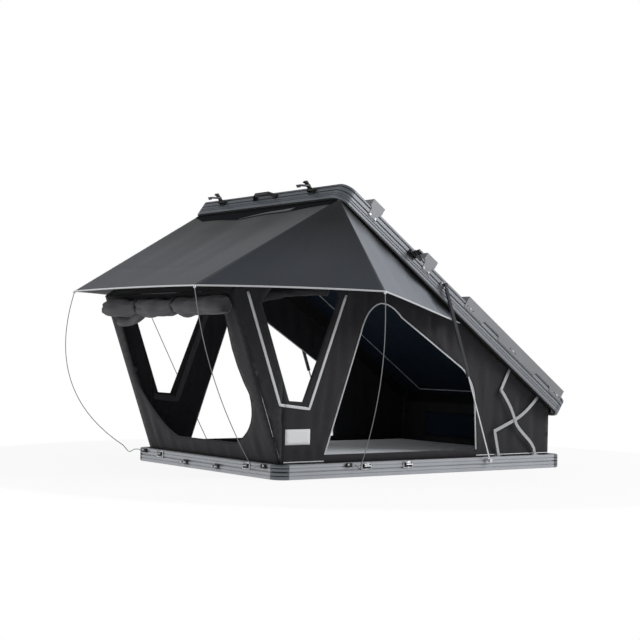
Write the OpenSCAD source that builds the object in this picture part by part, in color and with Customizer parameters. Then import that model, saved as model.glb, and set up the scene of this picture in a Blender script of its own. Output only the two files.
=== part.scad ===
// Hard shell roof top tent, shown open: a ribbed tray and a tilted lid joined by two crossed-arm
// hinges, with canvas walls, a front hoop, an awning on four spring rods and a rack on the lid.
// X runs from the open front (-) to the hinge end (+), Z is up, and the origin lies on the underside.

/* [Shell] */
// Length of the shell, front to rear
body_l = 2140; // [2040:10:2240]
// Width of the shell
body_w = 1530; // [1430:10:1630]
// Height of the base tray
base_h = 80; // [76:1:90]
// Height of the lid
lid_h = 98; // [94:1:110]
// Depth of the rails from outside to inside
rail_d = 38; // [36:1:42]
// Wall of the hollow rails
rail_t = 3; // [2:0.5:4]
// Outside radius of the corner castings
corner_r = 75; // [65:1:90]
// Gap between lid and base when the tent is shut
seam = 4; // [4:0.5:6]
// Depth of the deep slots that hold the bolts of the fittings
slot_d = 9; // [7:0.5:11]
// Depth of the shallow grooves between the ribs
groove_d = 4; // [3:0.5:6]

/* [Opening] */
// Angle of the open lid
open_angle = 35; // [32:0.5:38]
// How far the rear edge of the open lid stands in from the rear of the base
lid_shift = 12; // [0:1:30]
// Height of the rear edge of the open lid
lid_lift = 311; // [290:1:330]

/* [Floor] */
// Height of the mount rails under the floor
mount_h = 20; // [16:1:24]
// Width of the mount rails
mount_w = 44; // [40:1:60]
// Distance of the mount rails from the centre line
mount_y = 420; // [300:5:500]
// Width of the slot mouth in a mount rail
mount_slot = 12; // [8:0.5:16]
// Thickness of the floor panel
floor_t = 20; // [12:1:24]
// Thickness of the mattress at its crown
mattress_t = 60; // [45:1:62]
// Gap between the mattress and the canvas on each side
mattress_gap = 44; // [40:1:80]

/* [Lid panels] */
// Thickness of the lid skin
skin_t = 4; // [2:0.5:8]
// Thickness of the padded ceiling
ceiling_t = 15; // [8:1:20]

/* [Canvas] */
// Distance of the canvas from the outer faces of the shell
canvas_inset = 66; // [64:1:72]
// Thickness of the canvas solids
canvas_t = 3; // [2:0.5:4]
// Thickness of the edge strips that hold the canvas
strip_t = 8; // [6:0.5:8]

/* [Front hoop] */
// Height of the hoop pivots
hoop_z = 118; // [114:1:124]
// Distance of the hoop pivots behind the front canvas
hoop_set = 30; // [26:1:40]
// Height of the hoop top above the base underside
hoop_top_z = 985; // [940:5:1020]
// How far the hoop top stands in front of its pivots
hoop_lean = 345; // [300:5:380]
// Outside diameter of the lower hoop tubes
hoop_d = 25; // [22:0.5:28]
// Outside diameter of the upper hoop tube
hoop_up_d = 19; // [16:0.5:20]
// Length of the lower hoop tubes
hoop_low_l = 475; // [440:5:500]

/* [Awning] */
// How far the awning front edge stands in front of the shell
awning_out = 484; // [430:2:530]
// How far the awning front corners stand in from the shell sides
awning_in = 86; // [60:1:130]
// Height of the awning front corners
awning_z = 1017; // [960:1:1040]
// How far the side corners of the awning stand out from the shell
awning_side = 485; // [410:5:525]
// Distance of the side corners behind the shell front
awning_back = 314; // [260:2:380]
// Height of the side corners
awning_side_z = 1004; // [950:2:1030]
// Distance of the awning's last seam from the lid rear, along the lid
awning_end = 980; // [960:5:1060]
// How far that seam's end stands in from the shell sides, behind the gas struts
awning_end_in = 60; // [55:1:65]
// Diameter of the awning rods
rod_d = 5; // [4:0.5:7]

/* [Hinge] */
// Distance of the rear hinge pivots from the shell rear
pivot_a = 200; // [185:1:215]
// Height of the pivots on the base
pivot_z = 88; // [86:1:90]
// Height of the rear pivot above the lid bottom
pivot_h = 34; // [32:1:38]
// Height of the front pivot above the lid bottom
pivot_front_h = 36; // [34:1:40]
// Length of the long arms from pivot to crossing
arm_l = 268; // [262:1:276]
// Width of the hinge bars
arm_w = 20; // [16:1:22]
// Thickness of the hinge bars
arm_t = 3; // [2.5:0.25:3]

/* [Gas struts] */
// Distance of the strut foot behind the shell centre
strut_x = 434; // [420:1:450]
// Height of the strut foot
strut_z = 62; // [56:1:64]
// Distance of the strut head behind the middle crossbar, along the lid
strut_back = 150; // [135:1:160]
// Height of the strut head above the lid bottom
strut_h = 61; // [50:1:68]
// Length of the strut cylinder
strut_cyl_l = 560; // [500:5:570]
// Diameter of the strut cylinder
strut_d = 22; // [18:0.5:24]
// Diameter of the strut rod
strut_rod_d = 10; // [8:0.5:12]

/* [Rack] */
// Distance of the front crossbar from the lid rear
bar_front_a = 1895; // [1840:5:1920]
// Distance of the middle crossbar from the lid rear
bar_mid_a = 1410; // [1360:5:1440]
// Width of the crossbars
bar_w = 94; // [80:1:110]
// Height of the crossbars above the lid bottom
bar_top = 142; // [132:1:150]
// Thickness of the sheet metal of bars and rack
sheet_t = 3; // [2:0.5:4]
// Front end of the rack, distance from the lid rear
rack_front_a = 1052; // [1000:2:1080]
// Rear end of the rack, distance from the lid rear
rack_rear_a = 80; // [60:5:130]
// Height of the rack plates above the lid bottom
rack_top = 135; // [128:1:145]

/* [Fittings] */
// Distance of the front latches from the centre line
latch_y = 465; // [430:5:500]
// Distance of the side latches in front of the middle crossbar
latch_ahead = 137; // [130:1:180]
// Width of a latch
latch_w = 56; // [50:1:64]
// Distance of the front rod sockets from the centre line
socket_y = 640; // [620:1:650]
// Distance of the side rod sockets in front of the side latches
socket_ahead = 126; // [113:1:143]
// Distance of the ladder hooks from the centre line
ladder_y = 168; // [140:1:220]
// Radius of the ladder hook pins
ladder_r = 5; // [4:0.5:7]
// Radial clearance of the running pins
fit = 0.05; // [0.02:0.01:0.1]
// Gap between parts that move past each other
gap = 0.3; // [0.2:0.05:0.5]

/* [Hidden] */
$fn = 32;

// Colours of the finishes
ALU = [0.60, 0.62, 0.64];
SHEET = [0.66, 0.67, 0.68];
STEEL = [0.78, 0.79, 0.80];
BLACK = [0.07, 0.07, 0.08];
CANVAS = [0.22, 0.21, 0.22];
AWNING = [0.30, 0.31, 0.33];
NAVY = [0.05, 0.06, 0.08];
FOAM = [0.66, 0.70, 0.74];

// Small edge sizes shared by the rails
edge_c = 5;
lip = 1;
groove_w = 4;
slot_w = 7;
eps = 0.01;

// Grooves up the faces, as height, width and depth
base_grooves = [[base_h * 0.26, groove_w, groove_d], [base_h * 0.52, slot_w, slot_d],
    [base_h * 0.77, groove_w, groove_d]];
lid_grooves = [[lid_h * 0.20, groove_w, groove_d], [lid_h * 0.34, groove_w, groove_d],
    [lid_h * 0.54, slot_w, slot_d], [lid_h * 0.82, slot_w, slot_d]];

// Places shared by the pieces. Lengthwise and crosswise places follow the size of the shell
half_l = body_l / 2;
half_w = body_w / 2;
drawn_l = 2140;
drawn_w = 1530;
stretch = body_l / drawn_l;
spread = body_w / drawn_w;
bar_front = bar_front_a * stretch;
bar_mid = bar_mid_a * stretch;
rack_front = rack_front_a * stretch;
rack_rear = rack_rear_a * stretch;
strut_a = bar_mid - strut_back;
latch_x = bar_mid + latch_ahead - half_l;
socket_x = latch_x + socket_ahead;
floor_z = mount_h;
floor_top = floor_z + floor_t;
skin_h = lid_h - 6 - skin_t;
ceiling_h = skin_h - ceiling_t;
lid_rear = [half_l - lid_shift, lid_lift];
canvas_x = half_l - canvas_inset;
canvas_y = half_w - canvas_inset;
strip_top = base_h - 4;
strip_h = 6;
wall_z = strip_top + gap;

// Plane helpers in X and Z
function turn(p, a) = [p.x * cos(a) - p.y * sin(a), p.x * sin(a) + p.y * cos(a)];
function side_of(p) = [-p.y, p.x];
function angle_of(p) = atan2(p.y, p.x);
function wrap(a) = a > 180 ? a - 360 : a < -180 ? a + 360 : a;
function mix(p, q, t) = p * (1 - t) + q * t;
function curve2(p, c, q, t) = mix(mix(p, c, t), mix(c, q, t), t);
function curve3(p, c, d, q, t) = mix(curve2(p, c, d, t), curve2(c, d, q, t), t);
// The crossing of a line between p and q, square to it at its middle, with the height z
function mid_at(p, q, z) =
    let (m = (p + q) / 2, n = side_of(q - p)) m + n * (z - m.y) / n.y;
// A point of the lid, from its distance to the lid rear and height over the lid bottom
function on_lid(a, h) = lid_rear + [-a * cos(open_angle) + h * sin(open_angle),
    a * sin(open_angle) + h * cos(open_angle)];
function on_shut_lid(a, h) = [half_l - a, base_h + seam + h];
function from_lid(p) = let (v = p - lid_rear) [-v.x * cos(open_angle) + v.y * sin(open_angle),
    v.x * sin(open_angle) + v.y * cos(open_angle)];
function from_shut_lid(p) = [half_l - p.x, p.y - base_h - seam];

// The lid turns about one line between its open and its shut place
shut_move = on_shut_lid(0, 0) - lid_rear;
pole = (on_shut_lid(0, 0) + lid_rear) / 2 + side_of(shut_move) / (2 * tan(open_angle / 2));

// Pivots of the crossed arms: the crossing lies at one arm length from both rear pivots
arm_base = [half_l - pivot_a, pivot_z];
arm_lid = on_lid(pivot_a, pivot_h);
arm_lid_shut = on_shut_lid(pivot_a, pivot_h);
function apex(p, q) = let (d = q - p) (p + q) / 2
    + side_of(d) / norm(d) * sqrt(arm_l * arm_l - norm(d) * norm(d) / 4);
cross = apex(arm_base, arm_lid);
cross_shut = apex(arm_base, arm_lid_shut);
arm_base_turn = wrap(angle_of(cross_shut - arm_base) - angle_of(cross - arm_base));
arm_lid_turn = wrap(angle_of(cross_shut - arm_lid_shut) - angle_of(cross - arm_lid));
// Ends of the long arms past the crossing, and the short links that meet them
tail_base = [-113, 176];
tail_lid = [-160, -62];
end_base = cross + tail_base;
end_lid = cross + tail_lid;
end_base_shut = cross_shut + turn(tail_base, arm_base_turn);
end_lid_shut = cross_shut + turn(tail_lid, arm_lid_turn);
link_base = mid_at(end_lid, end_lid_shut, pivot_z);
link_lid_ah = mid_at(from_lid(end_base), from_shut_lid(end_base_shut), pivot_front_h);
link_lid = on_lid(link_lid_ah.x, link_lid_ah.y);
link_lid_shut = on_shut_lid(link_lid_ah.x, link_lid_ah.y);
link_base_turn = wrap(angle_of(end_lid_shut - link_base) - angle_of(end_lid - link_base));
link_lid_turn = wrap(angle_of(end_base_shut - link_lid_shut) - angle_of(end_base - link_lid));

// Layers of the hinge, from the rail inwards, given by their inner faces
plate_t = 3;
rail_in = half_w - rail_d;
layer = arm_t + gap;
plate_in = rail_in - plate_t;
arm_base_in = plate_in - layer;
arm_lid_in = arm_base_in - layer;
link_base_in = arm_lid_in - layer;
link_lid_in = link_base_in - layer;
inner_plate_in = link_lid_in - gap - plate_t;
pin_r = 5;
pivot_eye = arm_w / 2 + 1;

// Gas strut line
strut_foot = [strut_x * stretch, strut_z];
strut_head = on_lid(strut_a, strut_h);
strut_head_shut = on_shut_lid(strut_a, strut_h);
strut_len = norm(strut_foot - strut_head);
strut_len_shut = norm(strut_foot - strut_head_shut);
strut_turn = wrap(angle_of(strut_foot - strut_head_shut) - angle_of(strut_foot - strut_head));
bracket_t = 14;
strut_y = half_w + bracket_t + gap + strut_d / 2;

// Hoop line
hoop_foot = [-canvas_x + hoop_set, hoop_z];
hoop_top = hoop_foot + [-hoop_lean, hoop_top_z - hoop_z];
hoop_dir = (hoop_top - hoop_foot) / norm(hoop_top - hoop_foot);
hoop_len = norm(hoop_top - hoop_foot);
hoop_in = 29;
hoop_y = canvas_y - hoop_in;
clamp_l = 34;
hoop_shut_len = hoop_low_l + clamp_l + hoop_up_d;
hoop_ang = angle_of(hoop_dir);

// Canvas outlines in X and Z
front_foot = [-canvas_x, wall_z];
front_top = hoop_top + [-hoop_up_d, 12];
lid_front_in = on_lid(body_l - canvas_inset, strip_h - gap);
lid_rear_in = on_lid(canvas_inset, strip_h - gap);
v_left_low = [-canvas_x + 44, 419];
v_right_low = [-canvas_x + 130, 413];
function placed(p) = [p.x * stretch, p.y];
v_right_top = placed([-620, 1030]);
v_peak = placed([-760, 1215]);
v_left_top = placed([-1168, 1000]);
door_points = [placed([-713, 124]), placed([-568, 422]), placed([-462, 800])];
door_bend = placed([-415, 960]);
door_top = placed([-310, 985]);
door_crest = placed([-215, 985]);
door_fall = placed([-148, 905]);
door_slope = placed([279, 605]);
door_heel = placed([372, 535]);
door_back = placed([385, 420]);
door_rear = placed([400, 124]);

// Awning corners in space, on a line under the lid seal
seal_h = seam - 0.5;
seal_out = 14;
seal_in = 32;
apex_in = 24;
line_h = -seal_h - gap - canvas_t * 0.15;
line_up = [sin(open_angle), 0, cos(open_angle)];
apex_xz = on_lid(body_l - apex_in, line_h);
apex_pt = [apex_xz.x, -(half_w - apex_in), apex_xz.y];
front_pt = [-half_l - awning_out, -(half_w - awning_in), awning_z];
side_pt = [-half_l + awning_back, -half_w - awning_side, awning_side_z];
end_xz = on_lid(awning_end * stretch, line_h);
end_pt = [end_xz.x, -(half_w - awning_end_in), end_xz.y];
function left_of(p) = [p.x, -p.y, p.z];

// Latch places: the pivot of the lever and of the bail, as outward distance and height over the lid
lever_pivot = [14, 62];
lever_l = 62;
bail_up = 30;
bail_l = 68;
// Angle of an open lever from upright, and of its bail from level, both outwards and down
lever_tilt = 75;
bail_drop = 37.8;
keeper_d = 13;

// Socket and rod ends
socket_w = 36;
socket_d = 16;
socket_h = 22;
socket_z = 68;
rod_off = 9;

// Placing helpers
module in_lid() translate([lid_rear.x, 0, lid_rear.y]) rotate([0, open_angle, 0])
    translate([-half_l, 0, 0]) children();
module both_sides() {
    children();
    mirror([0, 1, 0]) children();
}
// A flat outline in X and Z, pulled out to the right from its inner face
module plate_xz(y_in, t) translate([0, -y_in, 0]) rotate([90, 0, 0]) linear_extrude(t) children();
// Frames on the outer faces: x along the face, -y outwards
module on_front(t) translate([-half_l, t, 0]) rotate([0, 0, -90]) children();
module on_right(t) translate([t, -half_w, 0]) children();
module on_left(t) translate([t, half_w, 0]) rotate([0, 0, 180]) children();

module rounded_slab(l, w, r, t) linear_extrude(t) {
    square([l - 2 * r, w], center = true);
    square([l, w - 2 * r], center = true);
    for (x = [-1, 1], y = [-1, 1]) translate([x * (l / 2 - r), y * (w / 2 - r)]) circle(r);
}

// Section of a rail with its outer face at x = 0
function rail_outline(h, grooves) = concat(
    [[edge_c, 0], [0, edge_c]],
    [for (g = grooves) each [
        [0, g[0] - g[1] / 2 - lip], [lip, g[0] - g[1] / 2], [g[2], g[0] - g[1] / 2],
        [g[2], g[0] + g[1] / 2], [lip, g[0] + g[1] / 2], [0, g[0] + g[1] / 2 + lip]]],
    [[0, h - edge_c], [edge_c, h], [rail_d, h], [rail_d, 0]]);
module rail_section(h, grooves) difference() {
    polygon(rail_outline(h, grooves));
    translate([slot_d + rail_t, rail_t]) square([rail_d - slot_d - 2 * rail_t, h - 2 * rail_t]);
}
module rail_run(l, out, h, grooves) translate([-l / 2, -out, 0]) rotate([90, 0, 90])
    linear_extrude(l) rail_section(h, grooves);
module side_rails(h, grooves) both_sides() rail_run(body_l - 2 * corner_r, half_w, h, grooves);
module end_rails(h, grooves) for (a = [-90, 90]) rotate([0, 0, a])
    rail_run(body_w - 2 * corner_r, half_l, h, grooves);
module corner_set(h, grooves) for (k = [0:3]) let (x = k == 0 || k == 3 ? 1 : -1, y = k < 2 ? 1 : -1)
    translate([x * (half_l - corner_r), y * (half_w - corner_r), 0]) rotate([0, 0, 90 * k])
        rotate_extrude(angle = 90, $fn = 64) translate([corner_r, 0]) mirror([1, 0])
            rail_section(h, grooves);
strip_r = 22;
module strip_ring(z0, z1) translate([0, 0, z0]) difference() {
    rounded_slab(2 * canvas_x + strip_t, 2 * canvas_y + strip_t, strip_r + strip_t, z1 - z0);
    translate([0, 0, -eps])
        rounded_slab(2 * canvas_x - strip_t, 2 * canvas_y - strip_t, strip_r, z1 - z0 + 1);
}

// Base tray
module base_end_rails() color(ALU) end_rails(base_h, base_grooves);
module base_side_rails() color(ALU) side_rails(base_h, base_grooves);
module base_corners() color(ALU * 0.8) corner_set(base_h, base_grooves);
module floor_panel() color(NAVY) translate([0, 0, floor_z])
    rounded_slab(body_l - 2 * rail_d, body_w - 2 * rail_d, corner_r - rail_d + 10, floor_t);
module mount_rails() color(ALU) for (k = [-1:1]) translate([-half_l + rail_d, k * mount_y, 0])
    rotate([90, 0, 90]) linear_extrude(body_l - 2 * rail_d) difference() {
        translate([-mount_w / 2, 0]) square([mount_w, mount_h]);
        if (k == 0) translate([rail_t - mount_w / 2, rail_t])
            square([mount_w - 2 * rail_t, mount_h - 2 * rail_t]);
        if (k != 0) translate([-mount_slot / 2, -1]) square([mount_slot, rail_t + 2]);
        if (k != 0) translate([-mount_slot, rail_t]) square([2 * mount_slot, mount_h - 2 * rail_t]);
    }
module base_strips() color(BLACK) strip_ring(floor_top, strip_top);

// Mattress: rings of a rounded rectangle, drawn in between the corners and crowned on top
pad_n = 40;
pad_l = 2 * canvas_x - 2 * mattress_gap - hoop_set;
pad_w = 2 * canvas_y - 2 * mattress_gap;
pad_rings = [[14, 0], [2, 0.16], [0, 0.45], [4, 0.78], [22, 0.92], [110, 0.975], [330, 1]];
function pad_edge(k, inset) = let (a = 360 * k / pad_n, c = cos(a), s = sin(a),
    e = 0.16, x = sign(c) * pow(abs(c), e), y = sign(s) * pow(abs(s), e),
    draw = 10 * (1 - pow(min(abs(x), abs(y)), 4)))
    [x * (pad_l / 2 - inset - draw * abs(c)), y * (pad_w / 2 - inset - draw * abs(s))];
module mattress() color(FOAM) translate([mattress_gap / 2, 0, floor_top + gap]) polyhedron(
    [for (r = pad_rings, k = [0:pad_n - 1]) let (p = pad_edge(k, r[0])) [p.x, p.y, r[1] * mattress_t]],
    concat([[for (k = [0:pad_n - 1]) k]],
        [for (r = [0:len(pad_rings) - 2], k = [0:pad_n - 1]) let (a = r * pad_n + k,
            b = r * pad_n + (k + 1) % pad_n) each [[a, b + pad_n, b], [a, a + pad_n, b + pad_n]]],
        [[for (k = [pad_n - 1:-1:0]) (len(pad_rings) - 1) * pad_n + k]]));

// Keepers that the latch bails hook under, with an extra tie cleat on each side
keeper_w = 48;
keeper_low = 44;
keeper_h = 26;
foot_t = 4;
stem_w = 8;
bar_low = 54;
bar_h = 12;
cleat_step = 300;
module keeper() {
    translate([-keeper_w / 2, -foot_t, keeper_low]) cube([keeper_w, foot_t, keeper_h]);
    for (x = [stem_w / 2 - keeper_w / 2, keeper_w / 2 - stem_w * 1.5])
        translate([x, -keeper_d, bar_low + foot_t]) cube([stem_w, keeper_d, stem_w]);
    translate([-keeper_w / 2, -keeper_d, bar_low]) cube([keeper_w, foot_t, bar_h]);
}
module latch_keepers() color(STEEL) {
    for (y = [-1, 1]) on_front(y * latch_y) keeper();
    for (x = [-latch_x, -latch_x + cleat_step]) both_sides() on_right(x) keeper();
}
// Socket blocks with a level bore for the bent end of a rod
module socket() difference() {
    translate([-socket_w / 2, -socket_d, socket_z - socket_h / 2]) cube([socket_w, socket_d, socket_h]);
    translate([-socket_w, -rod_off, socket_z]) rotate([0, 90, 0])
        cylinder(d = rod_d + 2 * fit, h = 2 * socket_w);
}
module rod_sockets() color(BLACK) {
    for (y = [-1, 1]) on_front(y * socket_y) socket();
    both_sides() on_right(-socket_x) socket();
}
// Hooks for a ladder: a plate, a square stem and a pin on each side of it
ladder_z = 33;
ladder_pin_l = 52;
ladder_out = 22;
ladder_plate = [44, foot_t, 28];
ladder_stem = 2 * (ladder_r + 1);
module ladder_hooks() color(STEEL) for (y = [-1, 1]) on_front(y * ladder_y) {
    translate([-ladder_plate.x / 2, -foot_t, ladder_z - ladder_plate.z / 2]) cube(ladder_plate);
    translate([-ladder_stem / 2, -ladder_out - ladder_stem / 2, ladder_z - ladder_stem / 2])
        cube([ladder_stem, ladder_out + ladder_stem / 2, ladder_stem]);
    translate([-ladder_pin_l / 2, -ladder_out, ladder_z]) rotate([0, 90, 0])
        cylinder(r = ladder_r, h = ladder_pin_l);
}
// Feet of the gas struts on the base, heads on the lid
block_w = 40;
block_h = 26;
block_step = 12;
module strut_block(z) difference() {
    translate([-block_w / 2, -bracket_t, z - block_h / 2]) cube([block_w, bracket_t, block_h]);
    translate([-block_w / 2 - 1, -bracket_t - 1, z + block_h / 4])
        cube([block_step, bracket_t - foot_t, block_h]);
}
module strut_feet() color(STEEL) both_sides() on_right(strut_foot.x) strut_block(strut_z);
module strut_heads() color(STEEL) in_lid() both_sides() on_right(half_l - strut_a) strut_block(strut_h);

// Crossed-arm hinges
module eye(p, r = pivot_eye) translate(p) circle(r);
module base_cheek(y_in, p, z0, t = plate_t) plate_xz(y_in, t) {
    eye(p);
    translate([p.x - cheek_w / 2, z0]) square([cheek_w, p.y - z0 - pivot_eye / 2]);
    translate([p.x - pivot_eye, z0]) square([2 * pivot_eye, p.y - z0]);
}
module pin_xz(p, y_in, y_out) plate_xz(y_in, y_out - y_in) circle_at(p, pin_r);
module circle_at(p, r) translate(p) circle(r);
module hinge_base_plates() color(STEEL) both_sides() {
    base_cheek(plate_in, arm_base, floor_top, plate_t - gap);
    pin_xz(arm_base, arm_base_in - 2, plate_in);
    base_cheek(link_lid_in - 1, link_base, floor_top);
    pin_xz(link_base, link_lid_in + plate_t - 1, link_base_in + arm_t + gap / 2);
}
plate_low = 18;
lid_plate_w = 60;
lid_plate_h = 44;
cheek_w = 52;
hanger_w = 32;
hanger_low = 14;
module hinge_lid_plates() color(STEEL) both_sides() {
    in_lid() plate_xz(plate_in, plate_t)
        translate([half_l - pivot_a - lid_plate_w / 2, plate_low]) square([lid_plate_w, lid_plate_h]);
    pin_xz(arm_lid, arm_lid_in - 1, plate_in);
    in_lid() plate_xz(inner_plate_in, plate_t)
        translate([half_l - link_lid_ah.x - hanger_w / 2, pivot_front_h - hanger_low])
            square([hanger_w, skin_h - pivot_front_h + hanger_low]);
    pin_xz(link_lid, inner_plate_in + plate_t, link_lid_in + arm_t + gap / 2);
}
// A bent bar that follows a list of points, with round ends and bored eyes
function run_normal(pts, i) = let (a = pts[max(i - 1, 0)], b = pts[min(i + 1, len(pts) - 1)], d = b - a)
    side_of(d) / norm(d);
module bent_bar(pts, holes, y_in) plate_xz(y_in, arm_t) difference() {
    union() {
        polygon(concat([for (i = [0:len(pts) - 1]) pts[i] + run_normal(pts, i) * arm_w / 2],
            [for (i = [len(pts) - 1:-1:0]) pts[i] - run_normal(pts, i) * arm_w / 2]));
        eye(pts[0]);
        eye(pts[len(pts) - 1]);
    }
    for (p = holes) circle_at(p, pin_r + fit);
}
steps = 7;
arm_lean = [25, -76];
arm_rise = [0, 78];
lid_arm_lean = [105, 42];
lid_arm_tail = [90, 36];
rivet_h = 2;
arm_base_run = concat(
    [for (i = [0:steps]) curve3(arm_base, arm_base + arm_rise, cross + arm_lean, cross, i / steps)],
    [for (i = [1:steps]) curve2(cross, cross - arm_lean, end_base, i / steps)]);
arm_lid_run = concat(
    [for (i = [0:steps]) curve2(arm_lid, cross + lid_arm_lean, cross, i / steps)],
    [for (i = [1:steps]) curve2(cross, cross - lid_arm_tail, end_lid, i / steps)]);
module rivet(p, y_out) plate_xz(y_out, rivet_h) circle_at(p, pin_r + rivet_h);
module hinge_arms_base() color(STEEL) both_sides() {
    bent_bar(arm_base_run, [arm_base], arm_base_in);
    rivet(end_base, arm_base_in + arm_t);
    rivet(cross, arm_base_in + arm_t);
}
module hinge_arms_lid() color(STEEL) both_sides() bent_bar(arm_lid_run, [arm_lid], arm_lid_in);
module hinge_links_base() color(STEEL) both_sides() bent_bar([link_base, end_lid], [link_base], link_base_in);
module hinge_links_lid() color(STEEL) both_sides() bent_bar([link_lid, end_base], [link_lid], link_lid_in);

// Gas struts: a cylinder hung from the lid and a rod that slides in it
module along_strut(s) translate([strut_head.x, -strut_y, strut_head.y])
    rotate([0, 90 - angle_of(strut_foot - strut_head), 0]) translate([0, 0, s]) children();
neck_l = 20;
neck_d = 12;
strut_dip = 40;
module strut_eye() rotate([90, 0, 0]) translate([0, 0, -strut_d / 2]) cylinder(d = strut_d, h = strut_d);
module strut_cylinders() color(BLACK) both_sides() difference() {
    union() {
        along_strut(0) strut_eye();
        along_strut(neck_l / 2) cylinder(d = neck_d, h = neck_l);
        along_strut(neck_l) cylinder(d = strut_d, h = strut_cyl_l - neck_l);
    }
    along_strut(strut_dip) cylinder(d = strut_rod_d + 2 * fit, h = strut_cyl_l);
}
module strut_rods() color(STEEL) both_sides() {
    along_strut(strut_len) strut_eye();
    along_strut(strut_cyl_l - strut_dip)
        cylinder(d = strut_rod_d, h = strut_len - strut_cyl_l + strut_dip - strut_rod_d);
}

// Front hoop: two lower tubes with clamps on brackets, and one upper tube that slides in them
module along_hoop(s, y) translate([hoop_foot.x, y, hoop_foot.y]) rotate([0, 90 - hoop_ang, 0])
    translate([0, 0, s]) children();
bracket_in = hoop_d / 2 + gap;
bracket_w = 24;
clamp_wall = 7;
clamp_lug = [12, 22, 20];
hoop_stop = 18;
hoop_dip = 45;
module hoop_brackets() color(STEEL) for (y = [-hoop_y, hoop_y]) {
    for (k = [-1, 1]) translate([0, y + k * (bracket_in + plate_t / 2) + plate_t / 2, 0])
        rotate([90, 0, 0]) linear_extrude(plate_t) {
            eye(hoop_foot, bracket_w / 2);
            translate([hoop_foot.x - bracket_w / 2, floor_top]) square([bracket_w, hoop_z - floor_top]);
        }
    translate([hoop_foot.x, y + bracket_in + eps, hoop_z]) rotate([90, 0, 0])
        cylinder(r = pin_r, h = 2 * bracket_in + 2 * eps);
}
module hoop_lower() color(BLACK) for (y = [-hoop_y, hoop_y]) difference() {
    union() {
        along_hoop(0, y) cylinder(d = hoop_d, h = hoop_low_l);
        along_hoop(hoop_low_l - clamp_l / 2, y) cylinder(d = hoop_d + 2 * clamp_wall, h = clamp_l);
        along_hoop(hoop_low_l, y) translate([-clamp_lug.x / 2, -clamp_lug.y, -clamp_lug.z / 2])
            cube(clamp_lug);
        translate([hoop_foot.x, y + hoop_d / 2, hoop_z]) rotate([90, 0, 0]) cylinder(d = hoop_d, h = hoop_d);
    }
    translate([hoop_foot.x, y + hoop_d, hoop_z]) rotate([90, 0, 0])
        cylinder(r = pin_r + fit, h = 2 * hoop_d);
    along_hoop(hoop_stop, y) cylinder(d = hoop_up_d + 2 * fit, h = hoop_low_l + clamp_l);
}
module hoop_upper() color(BLACK) {
    for (y = [-hoop_y, hoop_y]) along_hoop(hoop_low_l - hoop_dip, y)
        cylinder(d = hoop_up_d, h = hoop_len - hoop_low_l + hoop_dip);
    for (y = [-hoop_y, hoop_y]) translate([hoop_top.x, y, hoop_top.y]) sphere(d = hoop_up_d * 1.15);
    translate([hoop_top.x, hoop_y, hoop_top.y]) rotate([90, 0, 0]) cylinder(d = hoop_up_d, h = 2 * hoop_y);
}

// Canvas walls
function door_outline() = concat(door_points,
    [for (i = [1:5]) curve2(door_points[2], door_bend, door_top, i / 5)],
    [for (i = [1:4]) curve2(door_top, door_crest, door_fall, i / 4)],
    [for (i = [0:4]) curve2(door_slope, door_heel, door_back, i / 4)], [door_rear]);
module side_wall() plate_xz(canvas_y - canvas_t / 2, canvas_t) difference() {
    polygon([front_foot, [canvas_x, wall_z], lid_rear_in, lid_front_in,
        mix(front_top, lid_front_in, (-canvas_x - front_top.x) / (lid_front_in.x - front_top.x))]);
    polygon([v_left_low, v_right_low, v_right_top, v_peak, v_left_top]);
    polygon(door_outline());
}
module wall_right() color(CANVAS) side_wall();
module wall_left() color(CANVAS) mirror([0, 1, 0]) side_wall();
rear_half = canvas_y - strip_t;
module wall_rear() color(CANVAS) translate([canvas_x - canvas_t / 2, -rear_half, wall_z])
    cube([canvas_t, 2 * rear_half, lid_rear_in.y - wall_z - strip_h]);
// The stretch of side canvas in front of the base, carried by the hoop
module front_corners() color(CANVAS) both_sides() plate_xz(canvas_y - canvas_t / 2, canvas_t) difference() {
    polygon([front_foot - [gap, 0], mix(front_top, lid_front_in,
        (-canvas_x - gap - front_top.x) / (lid_front_in.x - front_top.x)), front_top]);
    polygon([v_left_low, v_right_low, v_right_top, v_peak, v_left_top]);
}
// Front wall, drawn flat with its foot at the origin, then leaned forward to the hoop
front_len = norm(front_top - front_foot);
front_lean = angle_of(front_top - front_foot);
front_half = canvas_y - canvas_t / 2 - gap;
front_low = 100;
front_band = 70;
front_dir = (front_top - front_foot) / front_len;
hole_steps = 6;
near_curve = [[-490, 420], [-480, front_low + 10], [-270, front_low]];
far_curve = [[300, front_low], [460, front_low + 40], [600, 400]];
hole_top = [[615, 470], [590, front_len - front_band], [-545, front_len - front_band], [-556, 520]];
front_hole = concat(
    [for (i = [0:hole_steps]) curve2(near_curve[0], near_curve[1], near_curve[2], i / hole_steps)],
    [for (i = [0:hole_steps]) curve2(far_curve[0], far_curve[1], far_curve[2], i / hole_steps)], hole_top);
module wall_front() color(CANVAS) translate([front_foot.x, 0, front_foot.y + canvas_t * 0.4])
    rotate([0, 90 - front_lean, 0])
    rotate([90, 0, 90]) translate([0, 0, -canvas_t]) linear_extrude(canvas_t) difference() {
        translate([-front_half, 0]) square([2 * front_half, front_len]);
        polygon([for (p = front_hole) [p.x * spread, p.y]]);
    }
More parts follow.
